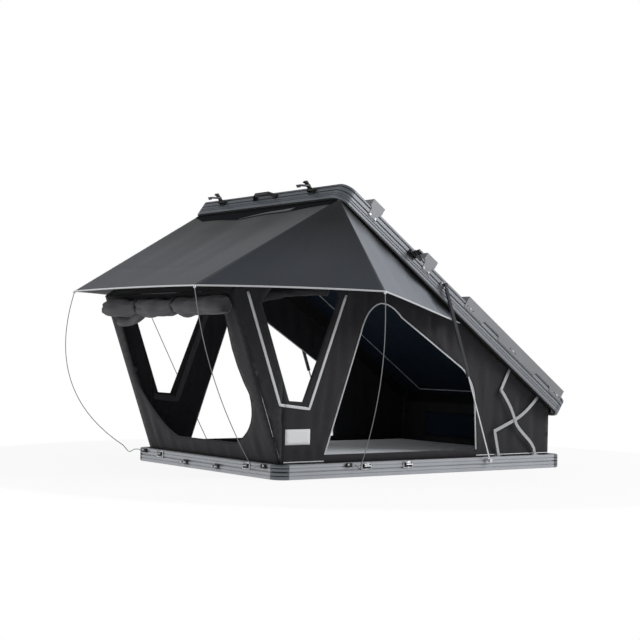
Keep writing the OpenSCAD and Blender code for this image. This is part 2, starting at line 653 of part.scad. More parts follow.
// The door, rolled up and tied under the hoop
roll_r = 50;
roll_at = front_top - front_dir * roll_r * 1.1 + side_of(front_dir) * (roll_r + canvas_t + gap);
roll_ties = 4;
roll_half = canvas_y - 4;
roll_pinch = 9;
roll_steps = 24;
function roll_radius(v) = roll_r - roll_pinch + roll_pinch * pow(abs(sin(180 * (roll_ties - 1) * v)), 0.6);
module door_roll() color(CANVAS) translate([roll_at.x, roll_half, roll_at.y]) rotate([90, 0, 0])
    rotate_extrude($fn = 48) polygon(concat([[0, 0]],
        [for (i = [0:roll_steps]) [roll_radius(i / roll_steps), 2 * roll_half * i / roll_steps]],
        [[0, 2 * roll_half]]));

// Lid
module lid_end_rails() color(ALU) in_lid() end_rails(lid_h, lid_grooves);
module lid_side_rails() color(ALU) in_lid() side_rails(lid_h, lid_grooves);
module lid_corners() color(ALU * 0.8) in_lid() corner_set(lid_h, lid_grooves);
module lid_skin() color(ALU * 0.6) in_lid() translate([0, 0, skin_h])
    rounded_slab(body_l - 2 * rail_d, body_w - 2 * rail_d, corner_r - rail_d + 10, skin_t);
module ceiling() color(NAVY) in_lid() translate([0, 0, ceiling_h])
    rounded_slab(2 * (canvas_x - gap) - strip_t, 2 * (canvas_y - gap) - strip_t, strip_r - gap, ceiling_t);
module lid_seal() color(BLACK) in_lid() translate([0, 0, -seal_h]) difference() {
    rounded_slab(body_l - 2 * seal_out, body_w - 2 * seal_out, corner_r - seal_out, seal_h);
    translate([0, 0, -eps])
        rounded_slab(body_l - 2 * seal_in, body_w - 2 * seal_in, corner_r - seal_in, seal_h + 1);
}
module lid_strips() color(BLACK) in_lid() strip_ring(strip_h, skin_h);

// Crossbars: an upside-down channel over the lid with end plates bolted to the lid sides
tab_low = 44;
tab_in = 14;
tab_drop = 8;
bar_bolt = 22;
module crossbar(a) in_lid() translate([half_l - a, 0, 0]) {
    translate([-bar_w / 2, -half_w, bar_top - sheet_t]) cube([bar_w, body_w, sheet_t]);
    for (x = [-bar_w / 2, bar_w / 2 - sheet_t]) translate([x, -half_w, lid_h])
        cube([sheet_t, body_w, bar_top - lid_h]);
    both_sides() plate_xz(half_w, sheet_t) difference() {
        polygon([[-bar_w / 2, bar_top], [-bar_w / 2, lid_h], [tab_in - bar_w / 2, lid_h - tab_drop],
            [tab_in - bar_w / 2, tab_low], [bar_w / 2 - tab_in, tab_low],
            [bar_w / 2 - tab_in, lid_h - tab_drop],
            [bar_w / 2, lid_h], [bar_w / 2, bar_top]]);
        for (x = [-bar_bolt, bar_bolt]) circle_at([x, lid_grooves[2][0]], bolt_r);
    }
}
module crossbar_front() color(SHEET) crossbar(bar_front);
module crossbar_middle() color(SHEET) crossbar(bar_mid);

// Rack: notched side plates and slats across the lid
rack_low = 62;
notch_h = 26;
notch_c = 14;
rack_hole_step = 26;
notch_at = [[722, 879], [191, 354]];
rack_bolt_a = [1005, 580, 120];
bolt_r = 4;
module rack_sides() color(SHEET) in_lid() both_sides() plate_xz(half_w, sheet_t) difference() {
    translate([half_l - rack_front, rack_low]) square([rack_front - rack_rear, rack_top - rack_low]);
    for (n = notch_at * stretch) polygon([[half_l - n[1], rack_low - 1],
        [half_l - n[1], rack_low + notch_h - notch_c],
        [half_l - n[1] + notch_c, rack_low + notch_h], [half_l - n[0] - notch_c, rack_low + notch_h],
        [half_l - n[0], rack_low + notch_h - notch_c], [half_l - n[0], rack_low - 1]]);
    for (a = rack_bolt_a * stretch, x = [-rack_hole_step, 0, rack_hole_step])
        circle_at([half_l - a + x, lid_grooves[3][0]], bolt_r);
}
slat_w = 90;
slat_n = 4;
module rack_slats() color(SHEET) in_lid() for (i = [0:slat_n - 1])
    let (a = rack_rear + slat_w / 2 + (rack_front - rack_rear - slat_w) * i / (slat_n - 1))
    translate([half_l - a, 0, 0]) {
        translate([-slat_w / 2, -half_w, rack_top - sheet_t]) cube([slat_w, body_w, sheet_t]);
        for (x = [-slat_w / 2, slat_w / 2 - sheet_t]) translate([x, -half_w, lid_h])
            cube([sheet_t, body_w, rack_top - lid_h]);
    }
// Bolts of the bars and the rack, held in the lid slots
head_h = 3;
module bolt(x, h) translate([x, -half_w - sheet_t - head_h, h]) rotate([-90, 0, 0]) {
    cylinder(r = bolt_r + head_h, h = head_h);
    cylinder(r = slot_w / 2 - gap, h = sheet_t + slot_d);
}
module lid_bolts() color(STEEL) in_lid() both_sides() {
    for (a = [bar_front, bar_mid], x = [-bar_bolt, bar_bolt]) bolt(half_l - a + x, lid_grooves[2][0]);
    for (a = rack_bolt_a * stretch) bolt(half_l - a, lid_grooves[3][0]);
}
// Front handle: two feet and a bent flat bar that stands off the lid
handle_half = 118;
handle_z = 58;
handle_out = 42;
handle_t = 6;
handle_w = 22;
handle_foot = [26, 10, 28];
grip_half = 70;
bar_root = 4;
module lid_handle() color(BLACK) in_lid() on_front(0) {
    for (x = [-handle_half, handle_half - handle_foot.x])
        translate([x, -handle_foot.y, handle_z - handle_foot.z / 2]) cube(handle_foot);
    translate([0, 0, handle_z - handle_w / 2]) linear_extrude(handle_w) polygon([
        [bar_root - handle_half, -handle_foot.y], [bar_root + handle_t - handle_half, -handle_foot.y],
        [bar_root - grip_half, handle_t - handle_out], [grip_half - bar_root, handle_t - handle_out],
        [handle_half - bar_root - handle_t, -handle_foot.y], [handle_half - bar_root, -handle_foot.y],
        [grip_half, -handle_out], [-grip_half, -handle_out]]);
}

// Latches: a plate with ears on the lid, a lever that turns in the ears, a bail on the lever
ear_t = 5;
ear_out = 22;
ear_h = 20;
latch_low = 40;
latch_plate_h = 40;
lever_pin = 3;
bail_pin = 2.5;
module latch_plate() difference() {
    union() {
        translate([-latch_w / 2, -foot_t, latch_low]) cube([latch_w, foot_t, latch_plate_h]);
        for (x = [-latch_w / 2, latch_w / 2 - ear_t]) translate([x, -ear_out, lever_pivot.y - ear_h / 2])
            cube([ear_t, ear_out, ear_h]);
    }
    translate([-latch_w, -lever_pivot.x, lever_pivot.y]) rotate([0, 90, 0])
        cylinder(r = lever_pin + fit, h = 2 * latch_w);
}
module latch_places() {
    for (y = [-1, 1]) on_front(y * latch_y) children();
    both_sides() on_right(-latch_x) children();
}
module latch_plates() color(BLACK) in_lid() latch_places() latch_plate();
lever_w = latch_w - 2 * ear_t - 2 * gap;
tongue_w = lever_w - 12;
lever_t = 7;
tip_d = 12;
tip_h = 8;
hub_r = 7;
knuckle_r = 6;
bail_t = 4;
bail_h = 8;
claw_h = 13;
module lever_frame() translate([0, -lever_pivot.x, lever_pivot.y]) rotate([lever_tilt, 0, 0]) children();
module x_rod(r, l) translate([-l / 2, 0, 0]) rotate([0, 90, 0]) cylinder(r = r, h = l);
module lever() lever_frame() difference() {
    union() {
        x_rod(lever_pin, latch_w);
        x_rod(hub_r, lever_w);
        translate([-tongue_w / 2, -lever_t / 2, 0]) cube([tongue_w, lever_t, lever_l]);
        translate([-tongue_w / 2, -tip_d + lever_t / 2, lever_l - tip_h]) cube([tongue_w, tip_d, tip_h]);
        translate([0, 0, bail_up]) x_rod(knuckle_r, tongue_w);
    }
    translate([0, 0, bail_up]) x_rod(bail_pin + fit, lever_w);
}
module bail() lever_frame() translate([0, 0, bail_up]) {
    x_rod(bail_pin, lever_w);
    rotate([bail_drop - lever_tilt, 0, 0]) {
        for (x = [-lever_w / 2, lever_w / 2 - bail_t]) translate([x, -bail_l, -bail_h / 2])
            cube([bail_t, bail_l, bail_h]);
        translate([-lever_w / 2, -bail_l, -bail_h / 2]) cube([lever_w, bail_t, bail_h]);
        translate([-tongue_w / 2, -bail_l, -claw_h]) cube([tongue_w, bail_t, claw_h]);
    }
}
module latch_lever_front_right() color(BLACK) in_lid() on_front(-latch_y) lever();
module latch_lever_front_left() color(BLACK) in_lid() on_front(latch_y) lever();
module latch_lever_side_right() color(BLACK) in_lid() on_right(-latch_x) lever();
module latch_lever_side_left() color(BLACK) in_lid() on_left(-latch_x) lever();
module latch_bail_front_right() color(STEEL) in_lid() on_front(-latch_y) bail();
module latch_bail_front_left() color(STEEL) in_lid() on_front(latch_y) bail();
module latch_bail_side_right() color(STEEL) in_lid() on_right(-latch_x) bail();
module latch_bail_side_left() color(STEEL) in_lid() on_left(-latch_x) bail();

// Awning panels: flat sheets between three or four corners
function cross_of(p) = let (n = cross3(p[1] - p[0], p[2] - p[0])) n / norm(n);
function cross3(a, b) = [a.y * b.z - a.z * b.y, a.z * b.x - a.x * b.z, a.x * b.y - a.y * b.x];
function centre_of(p) = [for (k = [0:2]) len(p) == 3 ? (p[0][k] + p[1][k] + p[2][k]) / 3
    : (p[0][k] + p[1][k] + p[2][k] + p[3][k]) / 4];
// The corners are drawn in a little, so that neighbours don't touch
module sheet_of(corners, in) let (c = centre_of(corners), n = cross_of(corners) * canvas_t / 2,
    k = len(corners), p = [for (q = corners) q + (c - q) / norm(c - q) * in])
    polyhedron(concat([for (q = p) q - n], [for (q = p) q + n]), concat(
        [[for (i = [0:k - 1]) k - 1 - i]], [[for (i = [0:k - 1]) k + i]],
        [for (i = [0:k - 1]) [i, (i + 1) % k, k + (i + 1) % k, k + i]]));
sheet_in = 2.5;
corner_in = 0.8;
hood_in = 8;
apex_up = apex_pt + line_up * canvas_t * 0.3;
hood_half = canvas_y - hood_in;
hood_top = lid_front_in + [line_up.x, line_up.z] * gap * 1.5;
hood_corners = [[hood_top.x, -hood_half, hood_top.y], [hood_top.x, hood_half, hood_top.y],
    [front_top.x, hood_half, front_top.y + canvas_t], [front_top.x, -hood_half, front_top.y + canvas_t]];
module awning_front() color(AWNING) {
    sheet_of([left_of(apex_up), apex_up, front_pt, left_of(front_pt)], sheet_in);
    sheet_of(hood_corners, sheet_in);
}
module awning_corner_right() color(AWNING) sheet_of([apex_pt, side_pt, front_pt], corner_in);
module awning_corner_left() color(AWNING) mirror([0, 1, 0]) sheet_of([apex_pt, side_pt, front_pt], corner_in);
module awning_side_right() color(AWNING) sheet_of([apex_pt, end_pt, side_pt], sheet_in);
module awning_side_left() color(AWNING) mirror([0, 1, 0]) sheet_of([apex_pt, end_pt, side_pt], sheet_in);

// Awning rods: a level pin in the socket, a zig-zag bend, then a bowed run to the awning corner
rod_sides = 8;
rod_steps = 14;
pin_l = 44;
pin_back = 14;
pin_start = 26;
function frame_at(pts, i) = let (a = pts[max(i - 1, 0)], b = pts[min(i + 1, len(pts) - 1)],
    d = (b - a) / norm(b - a),
    u = cross3(d, [0.31, 0.42, 0.85]), v = cross3(d, u / norm(u))) [u / norm(u), v];
module swept(pts, d) let (n = len(pts), f = [for (i = [0:n - 1]) frame_at(pts, i)])
    polyhedron([for (i = [0:n - 1], k = [0:rod_sides - 1]) pts[i]
        + d / 2 * (f[i][0] * cos(360 * k / rod_sides) + f[i][1] * sin(360 * k / rod_sides))],
        concat([[for (k = [0:rod_sides - 1]) k]], [[for (k = [rod_sides - 1:-1:0]) (n - 1) * rod_sides + k]],
            [for (i = [0:n - 2], k = [0:rod_sides - 1]) let (a = i * rod_sides + k,
                b = i * rod_sides + (k + 1) % rod_sides) each [[a, a + rod_sides, b + rod_sides],
                [a, b + rod_sides, b]]]));
module rod(bends, top, bow) {
    low = bends[len(bends) - 1];
    mid = (low + top) / 2 + 2 * bow;
    swept(concat(bends, [for (i = [1:rod_steps]) curve2(low, mid, top, i / rod_steps)]), rod_d);
}
module pin_x(p, l) translate(p) rotate([0, 90, 0]) cylinder(d = rod_d, h = l);
module pin_y(p, l) translate(p) rotate([-90, 0, 0]) cylinder(d = rod_d, h = l);
face_x = -half_l - rod_off;
face_y = -half_w - rod_off;
hook = [0, 0, 10];
// Bends past the pin, as distances outwards, along the pin and up, and the bow of the long run
near_bends = [[0, 58, -2], [22, 88, -24], [12, 112, 8]];
near_bow = [-30, 40, -10];
far_bends = [[0, 120, 2], [10, 175, -24], [30, 215, 18]];
far_bow = [-110, 150, -70];
side_bends = [[0, 46, -2], [22, 62, -24], [12, 78, 8]];
side_bow = [20, -40, 0];
module front_rod(y, bends, top, bow) {
    pin_y([face_x, y - pin_back, socket_z], pin_l);
    rod(concat([[face_x, y + pin_start, socket_z]],
        [for (b = bends) [face_x - b[0], y + b[1], socket_z + b[2]]]), top - hook, bow);
}
module rod_front_right() color(STEEL) front_rod(-socket_y, near_bends, front_pt, near_bow);
module rod_front_left() color(STEEL) front_rod(socket_y, far_bends, left_of(front_pt), far_bow);
module side_rod() {
    pin_x([-socket_x - pin_back, face_y, socket_z], pin_l);
    rod(concat([[-socket_x + pin_start, face_y, socket_z]],
        [for (b = side_bends) [-socket_x + b[1], face_y - b[0], socket_z + b[2]]]), side_pt - hook, side_bow);
}
module rod_side_right() color(STEEL) side_rod();
module rod_side_left() color(STEEL) mirror([0, 1, 0]) side_rod();

// Joint data of the model, printed for whoever sets the joints
echo(pole = pole, shut = open_angle);
echo(arm_base = arm_base, arm_base_turn = arm_base_turn, arm_lid = arm_lid, arm_lid_turn = arm_lid_turn);
echo(link_base = link_base, link_base_turn = link_base_turn);
echo(link_lid = link_lid, link_lid_turn = link_lid_turn);
echo(strut_head = strut_head, strut_turn = strut_turn, strut_dir = (strut_foot - strut_head) / strut_len,
    strut_travel = strut_len - strut_len_shut);
echo(hoop_foot = hoop_foot, hoop_ang = hoop_ang, hoop_dir = hoop_dir, hoop_travel = hoop_len - hoop_shut_len);
echo(apex_pt = apex_pt, front_pt = front_pt, side_pt = side_pt, end_pt = end_pt);
echo(face = [face_x, face_y, socket_z], lever = lever_pivot, bail_up = bail_up, lever_tilt = lever_tilt);

base_end_rails();
base_side_rails();
base_corners();
floor_panel();
mount_rails();
base_strips();
mattress();
latch_keepers();
rod_sockets();
ladder_hooks();
strut_feet();
hinge_base_plates();
hoop_brackets();
wall_right();
wall_left();
wall_rear();
lid_end_rails();
lid_side_rails();
lid_corners();
lid_skin();
ceiling();
lid_seal();
lid_strips();
crossbar_front();
crossbar_middle();
rack_sides();
rack_slats();
lid_handle();
latch_plates();
strut_heads();
hinge_lid_plates();
lid_bolts();
hinge_arms_base();
hinge_arms_lid();
hinge_links_base();
hinge_links_lid();
strut_cylinders();
strut_rods();
hoop_lower();
hoop_upper();
wall_front();
front_corners();
door_roll();
awning_front();
awning_corner_right();
awning_corner_left();
awning_side_right();
awning_side_left();
rod_front_right();
rod_front_left();
rod_side_right();
rod_side_left();
latch_lever_front_right();
latch_lever_front_left();
latch_lever_side_right();
latch_lever_side_left();
latch_bail_front_right();
latch_bail_front_left();
latch_bail_side_right();
latch_bail_side_left();
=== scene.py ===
"""Looks of a hard shell roof top tent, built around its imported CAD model.

The frame gives the rails, the lid, the hinges and the fittings, which get their finishes here. The soft
solids are replaced by canvas walls, an awning, a mattress and other cloth, in metres in the frame's axes.
"""

import logging
import math
from collections.abc import Sequence
from dataclasses import dataclass, field
from enum import Enum

import bmesh
import bpy
import numpy as np
from mathutils import Matrix, Vector
from mathutils.geometry import delaunay_2d_cdt


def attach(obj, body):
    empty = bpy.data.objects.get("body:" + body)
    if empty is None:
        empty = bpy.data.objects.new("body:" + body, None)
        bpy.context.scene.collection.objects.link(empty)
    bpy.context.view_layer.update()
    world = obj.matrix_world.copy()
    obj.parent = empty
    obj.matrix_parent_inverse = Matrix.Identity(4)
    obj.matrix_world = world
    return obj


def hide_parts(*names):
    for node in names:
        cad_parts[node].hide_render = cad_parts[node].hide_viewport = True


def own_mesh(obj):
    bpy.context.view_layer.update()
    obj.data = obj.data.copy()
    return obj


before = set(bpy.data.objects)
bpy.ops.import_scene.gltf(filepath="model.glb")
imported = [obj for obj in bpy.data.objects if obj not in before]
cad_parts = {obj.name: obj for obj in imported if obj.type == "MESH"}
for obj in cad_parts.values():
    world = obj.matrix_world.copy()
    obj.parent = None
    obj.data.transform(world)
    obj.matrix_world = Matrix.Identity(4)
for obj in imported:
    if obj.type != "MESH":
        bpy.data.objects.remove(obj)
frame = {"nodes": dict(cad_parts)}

LOG = logging.getLogger("roof_top_tent")
IMAGE_SIZE = 640
SENSOR = 36.0
FLAT_MAP = "Flat"

# Sockets of a Mix node that blends two colours
MIX_INPUTS = (0, 6, 7)
MIX_RESULT = 2

# Scale of handling marks and height of the bump on metal, on coated pieces and on cloth
METAL_SCUFFS = 11.0
METAL_BUMP = 0.0004
COAT_SCUFFS = 24.0
COAT_BUMP = 0.0003
CLOTH_BUMP = 0.0006
SHEEN_ROUGHNESS = 0.45

# Share of the radius and depth of each turn at the end of a roll
ROLL_TURNS = ((0.86, -0.002), (0.80, 0.006), (0.62, 0.002), (0.56, 0.009), (0.34, 0.004), (0.28, 0.010))

# Signs of X and Y at the four corners, in order round the tray
CORNER_SIGNS = ((1, 1), (-1, 1), (-1, -1), (1, -1))

Pair = tuple[float, float]
Point = tuple[float, float, float]
Colour = tuple[float, float, float, float]
Loop = Sequence[Pair]
Triangle = tuple[int, int, int]


# Plan of the tent


class Side(Enum):
    """Which side of the tent a piece is on, as the sign of its Y."""

    RIGHT = -1
    LEFT = 1

    @property
    def word(self) -> str:
        """The word used in the names of nodes and pieces."""
        return self.name.lower()


@dataclass(frozen=True)
class TentPlan:
    """Main sizes of the tent in metres, as the CAD model has them."""

    half_length: float = 1.07
    half_width: float = 0.765
    canvas_inset: float = 0.066
    wall_foot: float = 0.0763
    lid_angle: float = math.radians(35.0)
    lid_rear: Pair = (1.058, 0.311)
    lid_length: float = 2.14
    strip_low: float = 0.0057
    hoop_foot: Pair = (-0.974, 0.118)
    hoop_top: Pair = (-1.319, 0.985)
    hoop_cover: Pair = (-0.019, 0.012)
    shut_height: float = 0.085

    @property
    def canvas_x(self) -> float:
        """Distance of the end walls from the middle."""
        return self.half_length - self.canvas_inset

    @property
    def canvas_y(self) -> float:
        """Distance of the side walls from the middle."""
        return self.half_width - self.canvas_inset

    def on_lid(self, along: float, up: float) -> Pair:
        """A point of the open lid in X and Z.

        Args:
            along: distance from the lid's rear edge, along the lid.
            up: height over the lid's bottom.

        Returns:
            The X and Z of the point.
        """
        c, s = math.cos(self.lid_angle), math.sin(self.lid_angle)
        return (self.lid_rear[0] - along * c + up * s, self.lid_rear[1] + along * s + up * c)

    @property
    def front_foot(self) -> Pair:
        """Foot of the front wall."""
        return (-self.canvas_x, self.wall_foot)

    @property
    def front_top(self) -> Pair:
        """Top of the front wall, over the hoop."""
        return (self.hoop_top[0] + self.hoop_cover[0], self.hoop_top[1] + self.hoop_cover[1])

    @property
    def leg_normal(self) -> Vector:
        """The way that is square to the hoop, towards the rear."""
        (foot_x, foot_z), (top_x, top_z) = self.hoop_foot, self.hoop_top
        leg = Vector((top_x - foot_x, top_z - foot_z)).normalized()
        return Vector((leg.y, 0.0, -leg.x))


PLAN = TentPlan()


class Fold(Enum):
    """How a soft piece gives way when the lid shuts."""

    STIFF = 0
    DOWN = 1
    TO_LEG = 2
    TO_HOOP = 3
    TO_PANEL = 4


@dataclass(frozen=True)
class Carrier:
    """What a piece rides on, with a fold and a slot that are kept but not applied."""

    body: str
    fold: Fold = Fold.STIFF
    slot: str = "wall_canvas"

    def take(self, piece: bpy.types.Object, *replaced: str) -> bpy.types.Object:
        """Fix a finished piece to its body.

        Args:
            piece: the finished mesh object.
            replaced: CAD nodes that the piece stands for.

        Returns:
            The same piece.
        """
        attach(piece, self.body)
        if replaced:
            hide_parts(*replaced)
        foot, top = PLAN.hoop_foot, PLAN.hoop_top
        # Axis, anchor and share of the thickness that is kept
        ways = {
            Fold.DOWN: ((0, 0, 1), (0, 0, PLAN.shut_height), 0.015),
            Fold.TO_LEG: (tuple(PLAN.leg_normal), (foot[0], 0, foot[1]), 0.04),
            Fold.TO_HOOP: (tuple(PLAN.leg_normal), (top[0], 0, top[1]), 0.12),
            Fold.TO_PANEL: (tuple(AWNING_LINES.front_normal), tuple(AWNING_LINES.apex(Side.RIGHT)), 0.04),
        }
        if self.fold in ways:
            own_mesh(piece)
        LOG.info("%s rides on %s", piece.name, self.body)
        return piece


# Node trees


class Sketch:
    """A short way to write node trees."""

    def __init__(self, tree: bpy.types.NodeTree) -> None:
        """Start on a tree."""
        self.tree = tree

    def feed(self, socket: bpy.types.NodeSocket, value: object) -> None:
        """Link an output to an input socket, or set the input's own value."""
        if isinstance(value, bpy.types.NodeSocket):
            self.tree.links.new(value, socket)
        else:
            socket.default_value = value

    def add(self, kind: str, settings: dict | None = None, **inputs: object) -> bpy.types.Node:
        """Add a node.

        Args:
            kind: the node's type name.
            settings: properties of the node.
            inputs: values or output sockets, by the input's name with _ for a space.

        Returns:
            The new node.
        """
        node = self.tree.nodes.new(kind)
        for name, value in (settings or {}).items():
            setattr(node, name, value)
        for name, value in inputs.items():
            wanted = name.replace("_", " ")
            self.feed(next(s for s in node.inputs if s.name == wanted and s.enabled), value)
        return node

    def group(self, tree: bpy.types.NodeTree, **inputs: object) -> bpy.types.Node:
        """Place a shared shader group."""
        return self.add("ShaderNodeGroup", {"node_tree": tree}, **inputs)

    def math(self, operation: str, *values: object) -> bpy.types.NodeSocket:
        """A math node on values or sockets; returns its output."""
        node = self.add("ShaderNodeMath", {"operation": operation})
        for socket, value in zip(node.inputs, values):
            self.feed(socket, value)
        return node.outputs[0]

    def mix(self, factor: object, low: object, high: object) -> bpy.types.NodeSocket:
        """Mix two colours; returns the colour output."""
        node = self.add("ShaderNodeMix", {"data_type": "RGBA"})
        for number, value in zip(MIX_INPUTS, (factor, low, high)):
            self.feed(node.inputs[number], value)
        return node.outputs[MIX_RESULT]

    def noise(self, place: bpy.types.NodeSocket, scale: object, detail: float) -> bpy.types.NodeSocket:
        """A noise pattern; returns its value."""
        return self.add("ShaderNodeTexNoise", Vector=place, Scale=scale, Detail=detail).outputs[0]

    def weigh(self, first: object, share: float, second: object, other: float) -> bpy.types.NodeSocket:
        """The sum of two values, each with its own share."""
        return self.math("MULTIPLY_ADD", first, share, self.math("MULTIPLY", second, other))

    def around(self, value: object, middle: float, spread: float) -> bpy.types.NodeSocket:
        """A value of 0 to 1, laid around a middle."""
        return self.math("MULTIPLY_ADD", value, spread, middle - spread / 2)

    def cover(self, shader: bpy.types.Node, colour: object, rough: object, height: object, depth: float,
              reach: float) -> None:
        """Give a shader its colour, its roughness and its bump.

        Args:
            shader: the Principled shader.
            colour: colour over the surface.
            rough: roughness over the surface.
            height: height of the bump over the surface.
            depth: strength of the bump.
            reach: distance of the bump in metres.
        """
        bump = self.add("ShaderNodeBump", Height=height, Strength=depth, Distance=reach)
        for label, value in (("Base Color", colour), ("Roughness", rough), ("Normal", bump.outputs[0])):
            self.feed(shader.inputs[label], value)


def shader_group(name: str, inputs: dict[str, float | None],
                 outputs: Sequence[str]) -> tuple[Sketch, bpy.types.Node, bpy.types.Node]:
    """Start a shader node group.

    Args:
        name: the group's name.
        inputs: default values by name, None for a vector.
        outputs: names of the value outputs.

    Returns:
        The sketch, the group's input node and its output node.
    """
    tree = bpy.data.node_groups.new(name, "ShaderNodeTree")
    for label, value in inputs.items():
        kind = "NodeSocketVector" if value is None else "NodeSocketFloat"
        socket = tree.interface.new_socket(label, in_out="INPUT", socket_type=kind)
        if value is not None:
            socket.default_value = value
    for label in outputs:
        tree.interface.new_socket(label, in_out="OUTPUT", socket_type="NodeSocketFloat")
    sketch = Sketch(tree)
    return sketch, sketch.add("NodeGroupInput"), sketch.add("NodeGroupOutput")


class Effects:
    """Shader groups that several finishes share."""

    def __init__(self) -> None:
        """Build each group once."""
        self.weave = self._weave()
        self.scuffs = self._scuffs()
        self.drawn = self._drawn()

    @staticmethod
    def _weave() -> bpy.types.NodeTree:
        """Crossing threads with uneven yarn, on flat cloth coordinates."""
        sketch, given, result = shader_group(
            "cloth weave", {"Vector": None, "Thread": 0.0016}, ("Height", "Tone"))
        place = given.outputs["Vector"]
        part = sketch.add("ShaderNodeSeparateXYZ", Vector=place)
        turn = sketch.math("DIVIDE", math.tau, given.outputs["Thread"])
        warp, weft = (sketch.math("SINE", sketch.math("MULTIPLY", part.outputs[k], turn)) for k in range(2))
        cloth = sketch.math("MULTIPLY", warp, weft)
        yarn, patch = sketch.noise(place, 55.0, 6.0), sketch.noise(place, 3.2, 5.0)
        sketch.feed(result.inputs["Height"], sketch.weigh(cloth, 0.5, yarn, 0.7))
        sketch.feed(result.inputs["Tone"], sketch.weigh(patch, 0.6, yarn, 0.4))
        return sketch.tree

    @staticmethod
    def _scuffs() -> bpy.types.NodeTree:
        """Fine scratches and handling marks."""
        sketch, given, result = shader_group(
            "scuff marks", {"Vector": None, "Scale": 14.0, "Amount": 0.4}, ("Mask", "Rough"))
        place, scale = given.outputs["Vector"], given.outputs["Scale"]
        cloud = sketch.noise(place, scale, 8.0)
        fine = sketch.noise(place, sketch.math("MULTIPLY", scale, 9.0), 4.0)
        sharp = sketch.add("ShaderNodeMapRange", Value=cloud, From_Min=0.52, From_Max=0.75)
        marks = sketch.math("MULTIPLY", sharp.outputs[0], fine)
        sketch.feed(result.inputs["Mask"], sketch.math("MULTIPLY", marks, given.outputs["Amount"]))
        sketch.feed(result.inputs["Rough"], fine)
        return sketch.tree

    @staticmethod
    def _drawn() -> bpy.types.NodeTree:
        """Long fine lines that drawing or brushing leaves in metal."""
        sketch, given, result = shader_group("drawn metal", {"Vector": None}, ("Height", "Tone"))
        place = given.outputs["Vector"]
        along = sketch.add("ShaderNodeMapping", Vector=place, Scale=(6.0, 6.0, 700.0))
        line, cloud = sketch.noise(along.outputs[0], 1.0, 3.0), sketch.noise(place, 5.0, 4.0)
        sketch.feed(result.inputs["Height"], line)
        sketch.feed(result.inputs["Tone"], sketch.weigh(line, 0.5, cloud, 0.5))
        return sketch.tree


def shade(red: int, green: int, blue: int) -> Colour:
    """A colour from screen values of 0 to 255, as the linear colour that shaders use."""

    def linear(value: int) -> float:
        """One channel in linear light."""
        part = value / 255
        return part / 12.92 if part <= 0.04045 else ((part + 0.055) / 1.055) ** 2.4

    return (linear(red), linear(green), linear(blue), 1.0)


def blank_material(name: str) -> tuple[bpy.types.Material, Sketch, bpy.types.Node]:
    """A material with only a Principled shader; returns it, its sketch and the shader."""
    material = bpy.data.materials.new(name)
    material.use_nodes = True
    shader = next(n for n in material.node_tree.nodes if n.type == "BSDF_PRINCIPLED")
    return material, Sketch(material.node_tree), shader


@dataclass(frozen=True)
class MetalFinish:
    """Drawn, cast or plated metal."""

    name: str
    dark: Colour
    light: Colour
    metallic: float = 0.7
    roughness: float = 0.4
    lines: float = 0.15
    wear: float = 0.35
    tilt: float = 0.0

    def make(self, effects: Effects) -> bpy.types.Material:
        """Build the material from the shared effects."""
        material, sketch, shader = blank_material(self.name)
        place = sketch.add("ShaderNodeTexCoord").outputs["Object"]
        if self.tilt:
            place = sketch.add("ShaderNodeMapping", Vector=place, Rotation=(0.0, self.tilt, 0.0)).outputs[0]
        drawn = sketch.group(effects.drawn, Vector=place)
        scuff = sketch.group(effects.scuffs, Vector=place, Scale=METAL_SCUFFS, Amount=self.wear)
        tone = sketch.mix(drawn.outputs["Tone"], self.dark, self.light)
        colour = sketch.mix(scuff.outputs["Mask"], tone, self.light)
        rough = sketch.around(scuff.outputs["Rough"], self.roughness, 0.16)
        sketch.cover(shader, colour, rough, drawn.outputs["Height"], self.lines, METAL_BUMP)
        shader.inputs["Metallic"].default_value = self.metallic
        return material


@dataclass(frozen=True)
class CoatFinish:
    """Paint, moulded plastic or rubber with a fine grain."""

    name: str
    dark: Colour
    light: Colour
    roughness: float = 0.5
    grain: float = 0.25
    grain_scale: float = 900.0

    def make(self, effects: Effects) -> bpy.types.Material:
        """Build the material from the shared effects."""
        material, sketch, shader = blank_material(self.name)
        place = sketch.add("ShaderNodeTexCoord").outputs["Object"]
        scuff = sketch.group(effects.scuffs, Vector=place, Scale=COAT_SCUFFS, Amount=0.5)
        pebble = sketch.noise(place, self.grain_scale, 2.0)
        colour = sketch.mix(scuff.outputs["Mask"], self.dark, self.light)
        rough = sketch.around(scuff.outputs["Rough"], self.roughness, 0.2)
        sketch.cover(shader, colour, rough, pebble, self.grain, COAT_BUMP)
        return material


